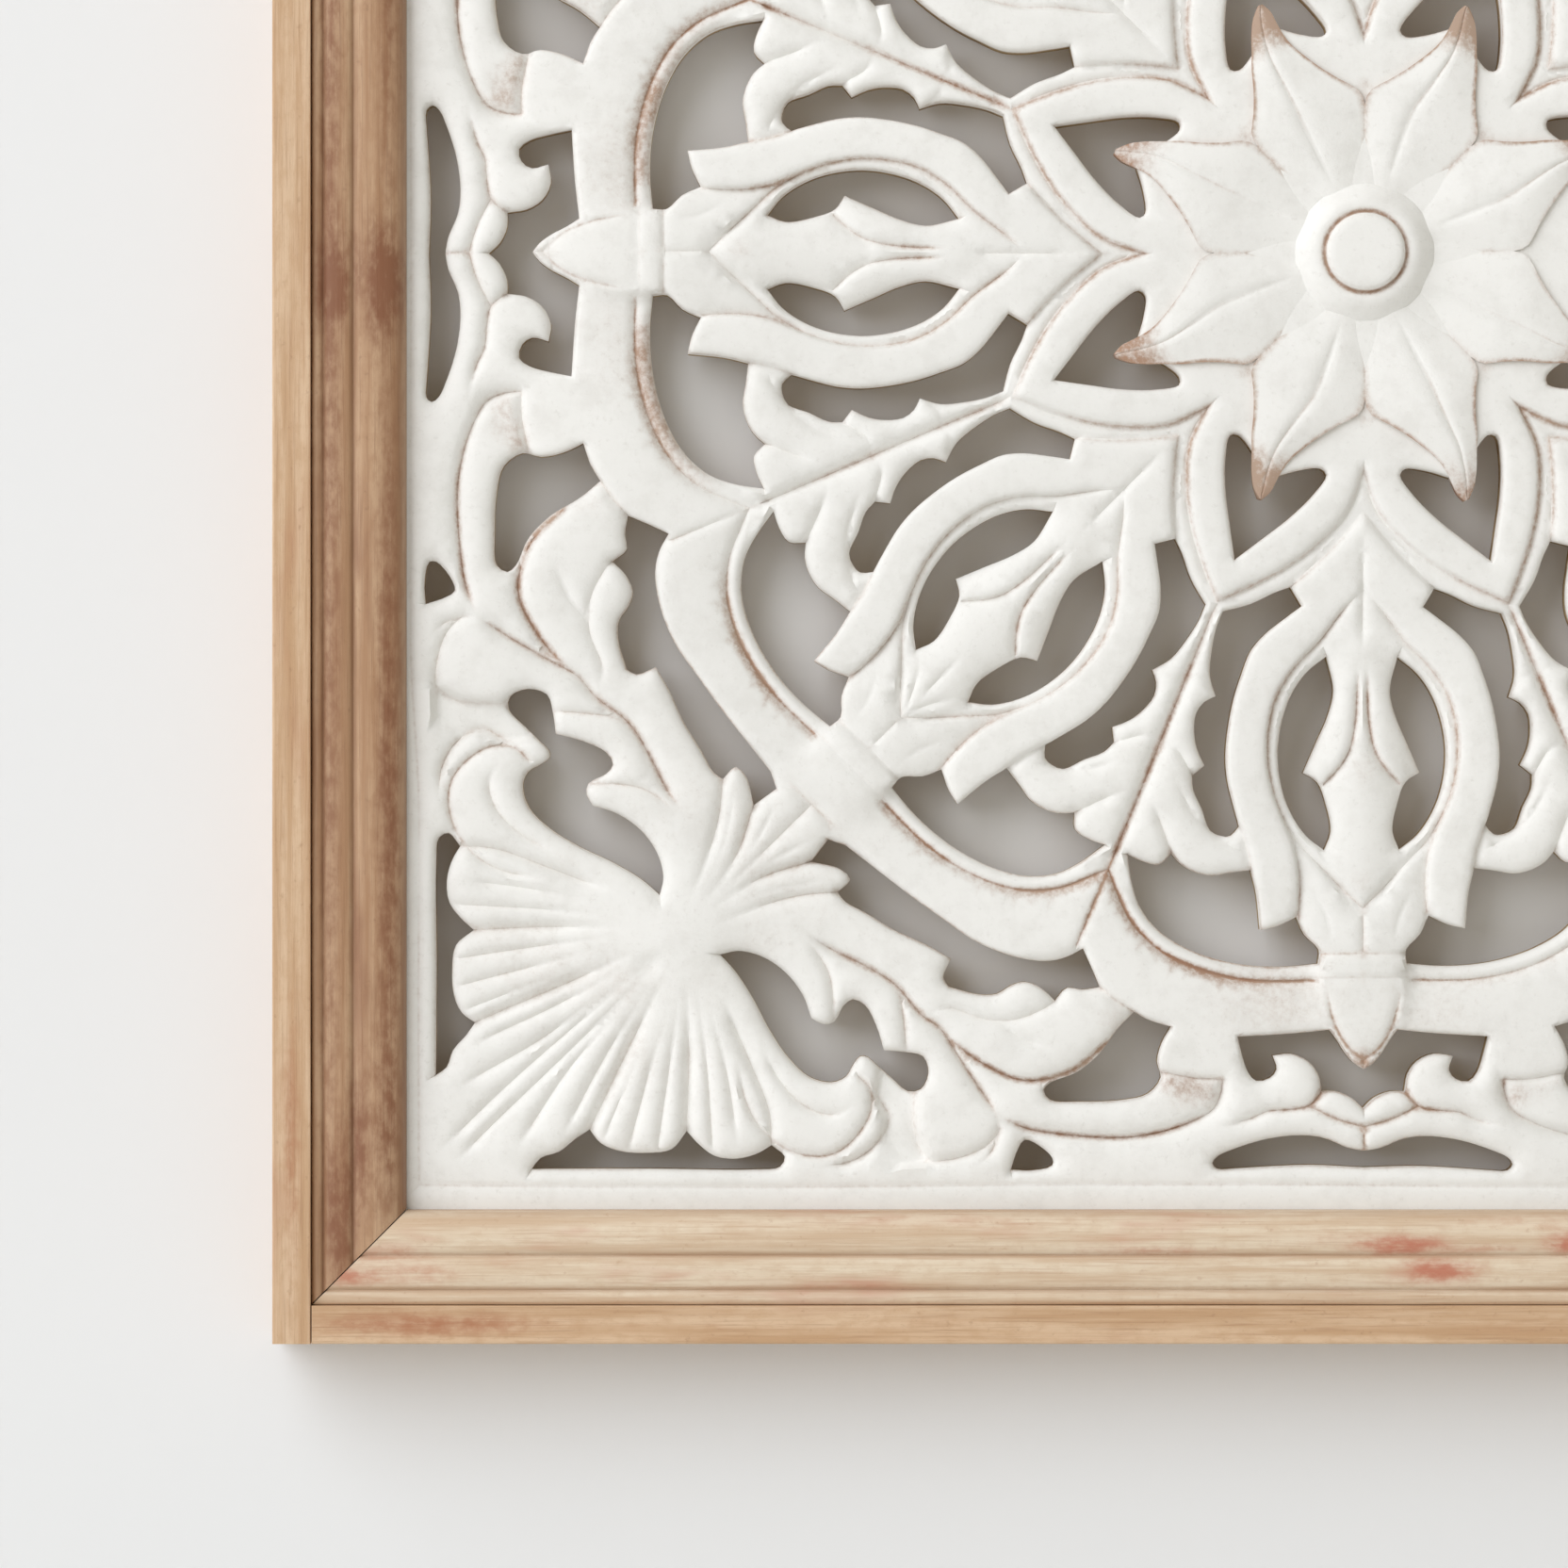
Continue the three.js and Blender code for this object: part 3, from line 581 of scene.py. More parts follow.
def carve(points, openings, lines):
    """Height of the carved surface in millimetres, how much paint is rubbed off it or painted brown as
    shade between the petals, and where the bead along the strap is.

    Leaves and leafy ground swell away from every edge and line: 1 less the falling exponential of
    the distance. Carved lines are then cut in, and the edges beside openings are eased."""
    edge, crease, cuts, rub = cut_lines(points, openings, lines)
    swell = 1 - np.exp(-np.clip(crease, 0, None) / SWELL_REACH)
    q, past = fold(points)
    forms = lobe_forms(q)
    strap, bud = forms["strap"], forms["bud"]
    from_strap, _ = distance(q, smooth_line(STRAP_INNER, SAMPLE_FORM))
    outer = 1 - forms["within"]
    tip = bud * ramp(q[:, 1], 195, 200) * ~past

    height = lobe_height(q, past, swell, forms, from_strap)
    height = height + (border_height(points, swell) - height) * outer * (1 - tip)
    a, r = points.T
    tab = mound(points, smooth_line(TAB, SAMPLE_FORM), soft=0.5)
    height = height + (LEVEL_TAB - 0.5 * ramp(r, 208, 221) - height) * tab
    height = height - cuts - EDGE_ROUND * np.clip(1 - edge / EDGE_ROUND, 0, 1)**1.8

    strength, beyond, wide = STRAP_RUB
    slope_rub = strength * strap * np.exp(-((from_strap - STRAP_GROOVE - beyond) / wide)**2) * (1 - outer)
    rub = np.maximum(rub, slope_rub * (1 - 0.95 * bud) * ramp(a, 16, 30))
    strength, wide = EDGE_RUB
    rub = np.maximum(rub, strength * np.clip(1 - edge / wide, 0, 1))
    # brown patches: rubbed paint, and painted shade in the notches between the petals
    for (x, y), wide, worn in BROWN_PATCHES:
        rub = np.maximum(rub, worn * np.exp(-((a - x)**2 + (r - y)**2) / wide**2) * 0.8)
    bead = ramp(STRAP_GROOVE + 0.6 - from_strap, 0, 0.7) * (1 - outer) * (1 - bud) * strap
    return height, rub, bead


def rows_beside(line, widths):
    """Points on both sides of a line, at each of the widths along its normals. The third column is
    the width, the fourth the number of the row."""
    rows = []
    for number, width in enumerate(widths):
        for side in (-1, 1):
            row = beside(line, side * width)
            row = np.column_stack([row, np.full(len(row), width), np.full(len(row), number)])
            rows.append(row[::1 if number < 2 else 2])
    return np.vstack(rows)


def loose_points(openings, lines):
    """Corners of the mesh that lie on no line: rows beside outlines and carved lines, and a
    hexagonal fill. A point stays where no line is nearer than its own width, one to a cell."""
    count = int(REACH / FILL) + 2
    i, j = np.meshgrid(np.arange(count), np.arange(int(count * 1.16)), indexing="ij")
    fill = np.column_stack([((i + 0.5 * (j % 2)) * FILL).ravel(), (j * FILL * 0.866).ravel()])
    fill = np.column_stack([fill, np.full(len(fill), FILL_CLEAR), np.full(len(fill), len(LINE_ROWS))])
    loose = [rows_beside(ring, OUTLINE_ROWS) for ring in openings]
    loose += [rows_beside(line, LINE_ROWS) for line, *_ in lines]
    loose = np.vstack([*loose, fill])
    a, r, width, _ = loose.T
    loose = loose[(a > 0.4 * width) & (r - a > 0.6 * width) & (r < REACH - 1)]
    near = np.full(len(loose), FAR)
    for line in [*openings, *(line for line, *_ in lines)]:
        near = np.minimum(near, distance(loose[:, :2], line)[0])
    loose = loose[near > 0.86 * loose[:, 2]]
    kept = []
    for number, cell in enumerate(ROW_CELLS):
        row = loose[loose[:, 3] == number][:, :2]
        _, first = np.unique(np.floor(row / cell).astype(int), axis=0, return_index=True)
        kept.append(row[first])
    return np.vstack(kept)


def in_openings(points, openings):
    """Whether each point lies in one of the openings."""
    result = np.zeros(len(points), bool)
    for ring in openings:
        result |= inside(points, ring)
    return result


def triangles_between(points, edges, openings):
    """Delaunay triangles of the wedge that keep the given edges, without those in openings."""
    corners, _, faces, *_ = delaunay_2d_cdt(points.tolist(), edges, [], 0, NEARLY)
    corners, faces = np.array(corners), np.array(faces)
    one, two, three = (corners[faces[:, k]] for k in range(3))
    area = (two - one)[:, 0] * (three - one)[:, 1] - (two - one)[:, 1] * (three - one)[:, 0]
    faces = np.where((area < 0)[:, None], faces[:, ::-1], faces)
    middle = (one + two + three) / 3
    a, r = middle.T
    keep = (np.abs(area) > 1e-7) & (a > -NEARLY) & (r - a > -NEARLY) & (r < REACH + NEARLY)
    return corners, faces[keep & ~in_openings(middle, openings)]


def chain(start, count, closed):
    """Edges that join numbered points in a row, and the last to the first if the row is closed."""
    row = start + np.arange(count)
    pairs = np.column_stack([row, np.roll(row, -1)])
    return (pairs if closed else pairs[:-1]).tolist()


def wedge_rim():
    """The three sides of the wedge: the middle line, the board's edge and the diagonal."""
    steps = np.linspace(0, REACH, int(REACH / SAMPLE_RIM) + 1)
    zero, full = np.zeros_like(steps), np.full_like(steps, REACH)
    rim = [np.column_stack([zero, steps])[:-1], np.column_stack([steps, full])[:-1],
           np.column_stack([steps, steps])[:0:-1]]
    return np.vstack(rim)


def rim_edges(mesh_edges, faces_per_edge, corners):
    """Edges with one triangle that don't lie on a mirror line of the wedge."""
    lone = mesh_edges[faces_per_edge == 1]
    a, r = corners[lone, 0], corners[lone, 1]
    on_mirror = (np.abs(a) < 1e-4).all(axis=1) | (np.abs(a - r) < 1e-4).all(axis=1)
    return lone[~on_mirror]


def directed_edges(faces):
    """All edges of the triangles in their own direction, and how many triangles share each."""
    pairs = np.vstack([faces[:, [0, 1]], faces[:, [1, 2]], faces[:, [2, 0]]])
    _, which, times = np.unique(np.sort(pairs, axis=1), axis=0, return_inverse=True, return_counts=True)
    return pairs, times[which.ravel()]


def carved_wedge():
    """One eighth of the board: carved face, walls of the openings and flat back, as corners in drawn
    units with their heights in millimetres, triangles, and the rub and the bead at each corner."""
    openings, lines = all_openings(), all_lines()
    parts = [*openings, *(line for line, *_ in lines), wedge_rim()]
    closed = [ring[0, 0] > 1e-6 for ring in openings] + [False] * len(lines) + [True]
    edges, start = [], 0
    for part, ring in zip(parts, closed):
        edges += chain(start, len(part), ring)
        start += len(part)
    points = np.vstack([*parts, loose_points(openings, lines)])
    points[:, 0] = np.clip(points[:, 0], 0, None)
    corners, faces = triangles_between(points, edges, openings)
    corners[np.abs(corners[:, 0]) < ON_MIRROR, 0] = 0
    on_diagonal = np.abs(corners[:, 0] - corners[:, 1]) < ON_MIRROR
    corners[on_diagonal] = corners[on_diagonal].mean(axis=1)[:, None]
    height, rub, bead = carve(corners, openings, lines)

    pairs, times = directed_edges(faces)
    rim = rim_edges(pairs, times, corners)
    numbers = np.unique(rim)
    foot = np.full(len(corners), -1)
    foot[numbers] = np.arange(len(numbers)) + len(corners)
    one, two = rim.T
    walls = [np.column_stack([two, one, foot[one]]), np.column_stack([two, foot[one], foot[two]])]

    low = corners[numbers]
    back_points = np.vstack([low, [(0, 0), (0, REACH), (REACH, REACH)]])
    back_edges = (foot[rim] - len(corners)).tolist()
    a, r = back_points.T
    for on_side in (a == 0, a == r):
        side = np.flatnonzero(on_side)
        side = side[np.argsort(r[side])].tolist()
        back_edges += zip(side[:-1], side[1:])
    back_corners, back_faces = triangles_between(back_points, back_edges, openings)

    everything = np.vstack([corners, low, back_corners])
    at_back = len(everything) - len(corners)
    heights = np.concatenate([height, np.zeros(at_back)])
    # the feet of the walls and the back are bare, so each opening's walls turn to brown wood towards the
    # back: painted shade inside the openings
    rubs = np.concatenate([rub, np.full(at_back, BARE)])
    beads = np.concatenate([bead, np.zeros(at_back)])
    back = back_faces[:, ::-1] + len(corners) + len(low)
    return everything, heights, np.vstack([faces, *walls, back]), rubs, beads


# Petals: distance from the centre and half width, in drawn units
PETAL_WIDTHS = [
    (11, 4.6), (22, 9.4), (30, 12.7), (36, 15), (40, 15.4), (45, 12.2), (50, 9.3), (55, 7), (60, 4.9),
    (65, 3.5), (68.5, 2.3), (70.8, 0.6),
]
# How far a petal leans towards the diagonal, and the share of its width at which its line lies
PETAL_LEAN = [(11, 0), (36, 0), (42, 0.3), (46, 0.9), (51, 1.6), (57, 2.3), (63, 1.8), (70.8, 0)]
RIB_PLACES = [0.16, -0.12, -0.1, 0.12, 0.18, -0.08, -0.14, 0.16]
# Height along a petal: distance from the centre, millimetres from the back of the board
PETAL_HEIGHTS = [(11, 15.6), (22, 16.2), (34, 17.2), (46, 18), (56, 17.6), (64, 16.2), (70.8, 14.3)]
PETAL_FOOT = 4.2
PETAL_DROP = 1.3         # from the middle of a petal to its edge
PETAL_RIB = 0.7          # depth of the line along its middle


def curve_through(pairs, at):
    """Values of a smooth curve through (place, value) pairs: a cubic between each two, with slopes
    from the neighbours on either side."""
    x, y = np.array(pairs, float).T
    slope = np.gradient(y, x)
    i = np.clip(np.searchsorted(x, at) - 1, 0, len(x) - 2)
    gap = x[i + 1] - x[i]
    t = np.clip((at - x[i]) / gap, 0, 1)
    return cubic(t, y[i], y[i + 1], gap * slope[i], gap * slope[i + 1])


def ring_faces(rings, count):
    """Triangles between closed rings of equal count, with a fan at either end."""
    i, j = np.meshgrid(np.arange(rings - 1), np.arange(count), indexing="ij")
    a, b = (i * count + j).ravel(), (i * count + (j + 1) % count).ravel()
    sides = np.vstack([np.column_stack([a, b, b + count]), np.column_stack([a, b + count, a + count])])
    k = np.arange(1, count - 1)
    near = np.column_stack([np.zeros_like(k), k + 1, k])
    last = (rings - 1) * count
    far = np.column_stack([np.full_like(k, last), last + k, last + k + 1])
    return np.vstack([sides, near, far])


def petal(lean, rib):
    """One petal along the middle line, leaning to one side. Across it the height falls as the power
    1.7 of the share from its line, less a narrow bell-shaped cut along the line itself; its sides
    stand upright on a narrower foot."""
    along = np.concatenate([np.linspace(11, 62, 25), np.linspace(63.5, 70.8, 7)])
    share = np.concatenate([np.linspace(-1, rib - 0.12, 7), rib + np.array([-0.05, 0, 0.05]),
                            np.linspace(rib + 0.12, 1, 7)])
    half = curve_through(PETAL_WIDTHS, along)[:, None]
    half = np.minimum(half, along[:, None] * math.tan(EIGHTH / 2) + 0.25)
    height = curve_through(PETAL_HEIGHTS, along)[:, None]
    flat = 1 - 0.6 * ramp(along, 50, 70)[:, None]
    from_rib = (share - rib) / np.where(share > rib, 1 - rib, 1 + rib)
    line = PETAL_RIB * np.exp(-((share - rib) / 0.07)**2)[None] * ramp(along, 18, 30)[:, None]
    top = height - PETAL_DROP * flat * np.abs(from_rib)[None]**1.7 - line * flat
    foot = np.array([1.0, -1.0])
    aside = lean * curve_through(PETAL_LEAN, along)[:, None]
    sideways = aside + np.concatenate([share[None] * half, foot[None] * half * 0.88], axis=1)
    heights = np.concatenate([top, np.full((len(along), 2), PETAL_FOOT)], axis=1)
    outwards = np.repeat(along[:, None], sideways.shape[1], axis=1)
    middle = 0.35 * np.exp(-((share - rib) / 0.05)**2)[None] * ramp(along, 24, 44)[:, None]
    rim = np.clip((np.abs(share) - 0.84) / 0.16, 0, 1)[None] * (0.55 + 0.45 * ramp(along, 34, 58)[:, None])
    end = ramp(along, 53, 68)[:, None] * (0.8 + 0.4 * np.abs(share)[None])
    on_top = np.maximum(np.maximum(middle, rim), end)
    rub = np.concatenate([on_top, np.repeat(end[:, :1], 2, axis=1)], axis=1)
    points = np.column_stack([sideways.ravel(), outwards.ravel()])
    return points, heights.ravel(), ring_faces(len(along), sideways.shape[1]), rub.ravel()


# Disc and collar of the flower, from the rim to the middle: millimetres out, millimetres high, rub
BOSS = [
    (19.6, 12.5, 0), (19.5, 14.9, 0.05), (19.1, 15.5, 0.05), (18.3, 16.1, 0.05), (17.4, 16.8, 0),
    (16.4, 17.6, 0), (15.3, 18.4, 0), (14.1, 19.0, 0), (13.0, 19.2, 0.05), (12.3, 19.05, 0.2),
    (11.75, 18.75, 0.55), (11.4, 18.45, 0.8), (11.15, 18.45, 0.85), (10.95, 18.9, 0.7),
    (10.8, 19.5, 0.4), (10.6, 20.3, 0.15), (10.2, 20.95, 0.2), (9.5, 21.25, 0.1), (8.2, 21.38, 0),
    (5.5, 21.38, 0), (3, 21.38, 0),
]
BOSS_TURNS = 64


def boss():
    """Disc and collar: the profile above carried around the middle, flat on top."""
    out, high, rub = np.array(BOSS).T
    angle = np.arange(BOSS_TURNS) * 2 * math.pi / BOSS_TURNS
    reach = out[:, None] * MM / UNIT
    points = np.column_stack([(reach * np.sin(angle)).ravel(), (reach * np.cos(angle)).ravel()])
    heights, rubs = np.repeat(high, BOSS_TURNS), np.repeat(rub, BOSS_TURNS)
    return points, heights, ring_faces(len(BOSS), BOSS_TURNS), rubs


def turned(points, angle):
    """Drawn points turned about the middle of the flower."""
    a, r = points.T
    s, c = math.sin(angle), math.cos(angle)
    return np.column_stack([a * c - r * s, a * s + r * c])


def outward(corners, faces):
    """Triangles of one closed body with all faces turned outwards: its signed volume, the sum of the
    corners' triple products, comes out positive."""
    one, two, three = (corners[faces[:, k]] for k in range(3))
    volume = (np.cross(one, two) * three).sum()
    return faces if volume > 0 else faces[:, ::-1]


def in_space(points, heights):
    """Drawn points and their heights as places in the frame, with the slight unevenness of hand
    work: outlines and heights wander in slow sine waves, which die out at the board's edge and at
    its back, and the border on the left lies further out than the one at the bottom."""
    a, r = points.T
    slip = LEFT_SLIP * ramp(-a, 188, 232) * (1 - ramp(-a, 247, 262)) * (1 - 0.45 * ramp(abs(r), 100, 150))
    free_a, free_r = np.clip((REACH - abs(points)) / 20, 0, 1).T
    x = (a - slip) * UNIT + UNEVEN * MM * np.sin(a / 31 + 1.1 * np.cos(r / 43)) * free_a
    z = -r * UNIT + UNEVEN * MM * np.sin(r / 27 + 1.3 * np.sin(a / 37)) * free_r
    waves = UNEVEN_LIFT * MM * np.sin(a / 13 + 2.0 * np.sin(r / 29)) * np.cos(r / 17)
    lift = heights * MM + waves * np.clip(heights / 10, 0, 1)
    return np.column_stack([x, BOARD_BACK - lift, CENTRE_Z + z])


# Edges sharper than these stay sharp, in degrees
CARVING_SMOOTH = 58
FRAME_SMOOTH = 42


def make_mesh(name, corners, faces, smooth_angle):
    """A mesh object from whole arrays, smooth except across edges sharper than the given angle."""
    mesh = bpy.data.meshes.new(name)
    mesh.from_pydata(corners.tolist(), [], faces.tolist())
    mesh.validate()
    mesh.polygons.foreach_set("use_smooth", [True] * len(mesh.polygons))
    mesh.set_sharp_from_angle(angle=math.radians(smooth_angle))
    piece = bpy.data.objects.new(name, mesh)
    bpy.context.collection.objects.link(piece)
    return piece


def add_values(piece, name, values):
    """One number for each corner of the mesh, for its material to read."""
    layer = piece.data.attributes.new(name, "FLOAT", "POINT")
    layer.data.foreach_set("value", np.asarray(values, dtype=np.float32))


def carved_board():
    """The whole carving: the wedge repeated in eight mirrored copies that share their corners along
    the mirror lines, with the petals, the collar and the disc set into it."""
    points, heights, faces, rub, bead = carved_wedge()
    copies = [(turn, side) for turn in range(4) for side in (1, -1)]
    spots = np.vstack([turned(points * np.array([side, 1]), turn * math.pi / 2) for turn, side in copies])
    lifts, rubs, bead = (np.tile(values, len(copies)) for values in (heights, rub, bead))
    triangles = np.vstack([(faces if side > 0 else faces[:, ::-1]) + number * len(points)
                           for number, (_, side) in enumerate(copies)])
    right, down = spots.T
    more = np.ones(len(spots))
    for x, y, reach, added in WORN_PLACES:
        more += added * np.exp(-(np.hypot(right - x, down - y) / reach)**2)
    rubs = np.where(rubs > 0, rubs * more, rubs)
    # along the left of the strap the bead is painted brown as shade, for there it faces away from the
    # light; not at its middle and less at its ends
    brown = bead * ramp(-right, 165, 176) * ramp(np.abs(down), 12, 22)
    brown = brown * 0.7 * (1 - 0.55 * ramp(np.abs(down), 40, 62))
    rubs = np.where(brown > 0.01, np.maximum(rubs, brown), rubs)
    key = np.round(np.column_stack([spots * MERGED, lifts * MERGED])).astype(np.int64)
    _, first, number = np.unique(key, axis=0, return_index=True, return_inverse=True)
    triangles = number.ravel()[triangles]
    one, two, three = triangles.T
    same = (one == two) | (two == three) | (one == three)
    corners = in_space(spots[first], lifts[first])
    bodies = [(corners, outward(corners, triangles[~same]), rubs[first])]
    flower = [boss()]
    for k, rib in enumerate(RIB_PLACES):
        spot, *rest = petal(1 if k % 2 else -1, rib)
        flower.append((turned(spot, (k + 0.5) * EIGHTH), *rest))
    for spot, lift, face, worn in flower:
        place = in_space(spot, lift)
        bodies.append((place, outward(place - place.mean(axis=0), face), worn))
    return joined("carving", bodies)


def joined(name, bodies):
    """Several closed bodies as one mesh object, with the rub at each corner."""
    starts = np.cumsum([0] + [len(corners) for corners, *_ in bodies])
    corners = np.vstack([corners for corners, *_ in bodies])
    faces = np.vstack([faces + start for (_, faces, _), start in zip(bodies, starts)])
    piece = make_mesh(name, corners, faces, CARVING_SMOOTH)
    add_values(piece, "rub", np.concatenate([rub for *_, rub in bodies]))
    return piece


# Section of the mouldings: millimetres from the opening, millimetres below the crown of the reeds,
# and how much painted shade darkens the colour there: in the grooves, on the sight edge and at the lath
RAIL_SECTION = [
    (0, 8.2, 0.8), (0, 6.9, 0.5), (0.2, 5.0, 0.5), (0.6, 3.6, 0.5), (1.2, 2.6, 0.4), (2.3, 1.6, 0.08),
    (4.0, 0.75, 0), (5.8, 0.25, 0), (7.6, 0.02, 0), (9.3, 0.1, 0), (10.6, 0.3, 0.05), (11.3, 0.55, 0.2),
    (11.8, 0.95, 0.5), (12.2, 1.2, 0.65), (12.6, 0.95, 0.45), (13.1, 0.5, 0.1), (13.9, 0.22, 0),
    (15.4, 0.05, 0), (17.4, 0, 0), (19.4, 0.1, 0), (20.8, 0.32, 0.05), (21.5, 0.6, 0.2), (22.0, 1.0, 0.55),
    (22.4, 1.3, 0.7), (22.8, 1.0, 0.4), (23.2, 0.65, 0.1), (23.8, 0.5, 0), (24.4, 0.45, 0),
    (25.0, 0.55, 0.05), (25.5, 0.75, 0.08), (25.8, 1.1, 0.2), (25.8, 8.2, 0.7),
]
# Stains on mouldings and laths, in millimetres: side (0 bottom, 1 right, 2 top, 3 left), place along
# it, place across it from the opening, length, width, strength. Those of the two sides in the photo
# come first.
STAINS = [
    (0, 10, 9.6, 15, 3.2, 1), (0, -2, 8, 22, 3, 0.35), (0, 20, 16.5, 12, 4, 1), (0, 57, 9, 9, 3.2, 1),
    (0, 28, 10.5, 30, 1.6, 0.45), (0, -236, 14, 9, 3, 0.3), (0, -262, 17, 16, 4, 0.5),
    (0, -60, 11, 26, 1.6, 0.5), (0, -120, 3, 60, 2.2, 0.3), (0, 60, 3, 50, 2.4, 0.35),
    (0, -280, 18, 14, 3, 0.8), (0, -268, 12, 14, 3, 0.55), (0, -271, 31, 4, 2, 0.5),
    (0, -253, 31.5, 3.5, 2, 0.4), (0, -224, 31, 3, 1.6, 0.35), (0, -202, 32, 3, 1.5, 0.35),
    (0, -180, 31, 4, 1.6, 0.35), (0, -258, 31, 34, 4, 0.85), (0, -120, 30, 30, 3, 0.2),
    (0, 40, 32, 30, 3, 0.25),
    (3, 9, 20, 17, 5.5, 1.25), (3, 9, 6, 19, 6, 1.25), (3, 5, 13, 14, 4, 0.6),
    (3, 150, 4.6, 150, 3.8, 0.85), (3, -140, 4.6, 150, 3.8, 0.85), (3, 0, 20.6, 420, 3.8, 0.68),
    (3, -160, 17, 90, 4, 0.3), (3, 0, 25.8, 400, 0.5, 0.5), (3, 235, 5, 40, 5, 0.8),
    (3, 245, 12.5, 26, 5, 0.8), (3, 264, 18, 28, 5, 1), (3, 60, 31, 60, 3, 0.15),
    (3, 245, 31, 42, 3, 0.6),
    (1, -90, 9, 24, 4, 0.7), (1, 130, 16, 30, 4, 0.6), (1, 230, 5, 30, 5, 0.5), (1, 0, 3, 200, 3.4, 0.5),
    (2, -120, 10, 18, 3, 0.8), (2, 60, 17, 26, 3, 0.5), (2, 210, 9, 14, 3, 0.7),
]
# Edges and grooves of the section above, and where they lie on the level and the upright sides
DRAWN_GROOVES = [0, 12.2, 22.4, 25.8]
RAIL_GROOVES = [[0, 12.3, 21.8, 25.8], [0, 14.4, 22.6, 25.8]]
MITRE_GAP = 0.21         # by which each end stops short of the mitre
WAVER = 0.08             # by which the reeds' edges waver
LATH_EASE = 0.6          # radius of a lath's outer corner
RAIL_STEPS = 241         # cuts along a side
LATH_STRIPS = 9          # lines along the face of a lath


def rail_mesh(name, side, section, end_at):
    """A frame side: the section carried along it with slightly wavering edges, its ends where
    end_at says for each distance from the opening. It is worked out for the bottom side and turned
    by quarter turns. Its map holds the place along and across the grain in metres."""
    out, high, dark = np.array(section, float).T
    share = np.linspace(-1, 1, RAIL_STEPS)
    along = share[:, None] * end_at(out)[None] * MM
    phase = np.arange(len(out)) * 0.35
    waver = WAVER * MM * np.sin(along * 23 + side * 2.1 + phase) * np.sin(along * 61 + phase * 1.7)
    free = (high > high.min() + 0.01) & (high < high.max() - 1.2)
    deep = np.repeat(high[None], len(share), axis=0) * MM + waver * free
    across = np.repeat(out[None], len(share), axis=0) * MM
    x, z = along, -(SIGHT + across)
    turn = side * math.pi / 2
    cosine, sine = math.cos(turn), math.sin(turn)
    corners = np.column_stack([
        (cosine * x - sine * z).ravel(),
        -deep.ravel(),
        (CENTRE_Z + sine * x + cosine * z).ravel(),
    ])
    faces = ring_faces(len(share), len(out))
    faces = outward(corners - corners.mean(axis=0), faces)
    piece = make_mesh(name, corners, faces, FRAME_SMOOTH)
    add_values(piece, "dark", np.tile(dark, len(share)))
    stained = np.zeros_like(along)
    for stain_side, place, spot, length, width, strength in STAINS:
        if stain_side == side:
            mark = ((along / MM - place) / length)**2 + ((out[None] - spot) / width)**2
            stained = np.maximum(stained, strength * np.exp(-mark))
    add_values(piece, "stain", stained.ravel())
    around = np.concatenate([[0], np.cumsum(np.hypot(np.diff(out), np.diff(high)))]) * MM
    lengths = (along + side * 0.9).ravel()
    widths = np.repeat(around[None], len(share), axis=0).ravel() + side * 0.13
    grain = piece.data.uv_layers.new(name="grain")
    numbers = np.empty(len(piece.data.loops), dtype=np.int32)
    piece.data.loops.foreach_get("vertex_index", numbers)
    grain.data.foreach_set("uv", np.column_stack([lengths[numbers], widths[numbers]]).ravel())
    return piece


SIDES = ["bottom", "right", "top", "left"]


def moulding(side):
    """A reeded moulding, mitred at both ends; heights are counted from the wall."""
    crown = -rail_low[1] / MM
    grooves = RAIL_GROOVES[side % 2]
    section = [(np.interp(out, DRAWN_GROOVES, grooves), crown - below, dark)
               for out, below, dark in RAIL_SECTION]
    piece = rail_mesh(f"moulding_{SIDES[side]}_wood", side, section,
                      lambda out: SIGHT / MM + out - MITRE_GAP)
    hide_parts(f"moulding_{SIDES[side]}")
    return piece


def lath(side):
    """A plain outer lath with small eased corners; the left and right ones run the full height."""
    low, high = (np.array(corner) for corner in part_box(f"lath_{SIDES[side]}"))
    inner, outer = (CENTRE_Z - lath_high[2] - SIGHT) / MM, (HALF_FRAME - SIGHT) / MM
    depth = -low[1] / MM
    face = [(out, depth) for out in np.linspace(inner + 1, outer - 1, LATH_STRIPS)]
    profile = [(inner, 0), *lath_corner(inner, depth, LATH_EASE / 2, 1), *face,
               *lath_corner(outer, depth, LATH_EASE, -1), (outer, 0)]
    section = [(out, rise, 0) for out, rise in profile]
    length = (high - low)[2 if side % 2 else 0] / 2 / MM
    piece = rail_mesh(f"lath_{SIDES[side]}_wood", side, section, lambda out: np.full_like(out, length))
    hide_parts(f"lath_{SIDES[side]}")
    return piece


def lath_corner(edge, depth, ease, way):
    """Quarter circle that eases one front corner of a lath, from its side to its face."""
    turns = np.linspace(0, math.pi / 2, 5)
    arc = [(edge + way * ease * (1 - math.cos(t)), depth - ease * (1 - math.sin(t))) for t in turns]
    return arc if way > 0 else arc[::-1]


# Colours of the paint, of the places where it is rubbed through, and of the bare back and lower walls
# of the openings, whose brown also stands in for shade inside them
PAINT_LIGHT = (0.87, 0.86, 0.83, 1)
PAINT_SHADE = (0.83, 0.82, 0.79, 1)
PAINT_GREY = (0.67, 0.65, 0.61, 1)
RUB_BROWN = (0.36, 0.19, 0.11, 1)
RUB_GREY = (0.45, 0.32, 0.24, 1)
BARE_WOOD = (0.42, 0.30, 0.155, 1)
BARE_STREAK = (0.28, 0.185, 0.09, 1)
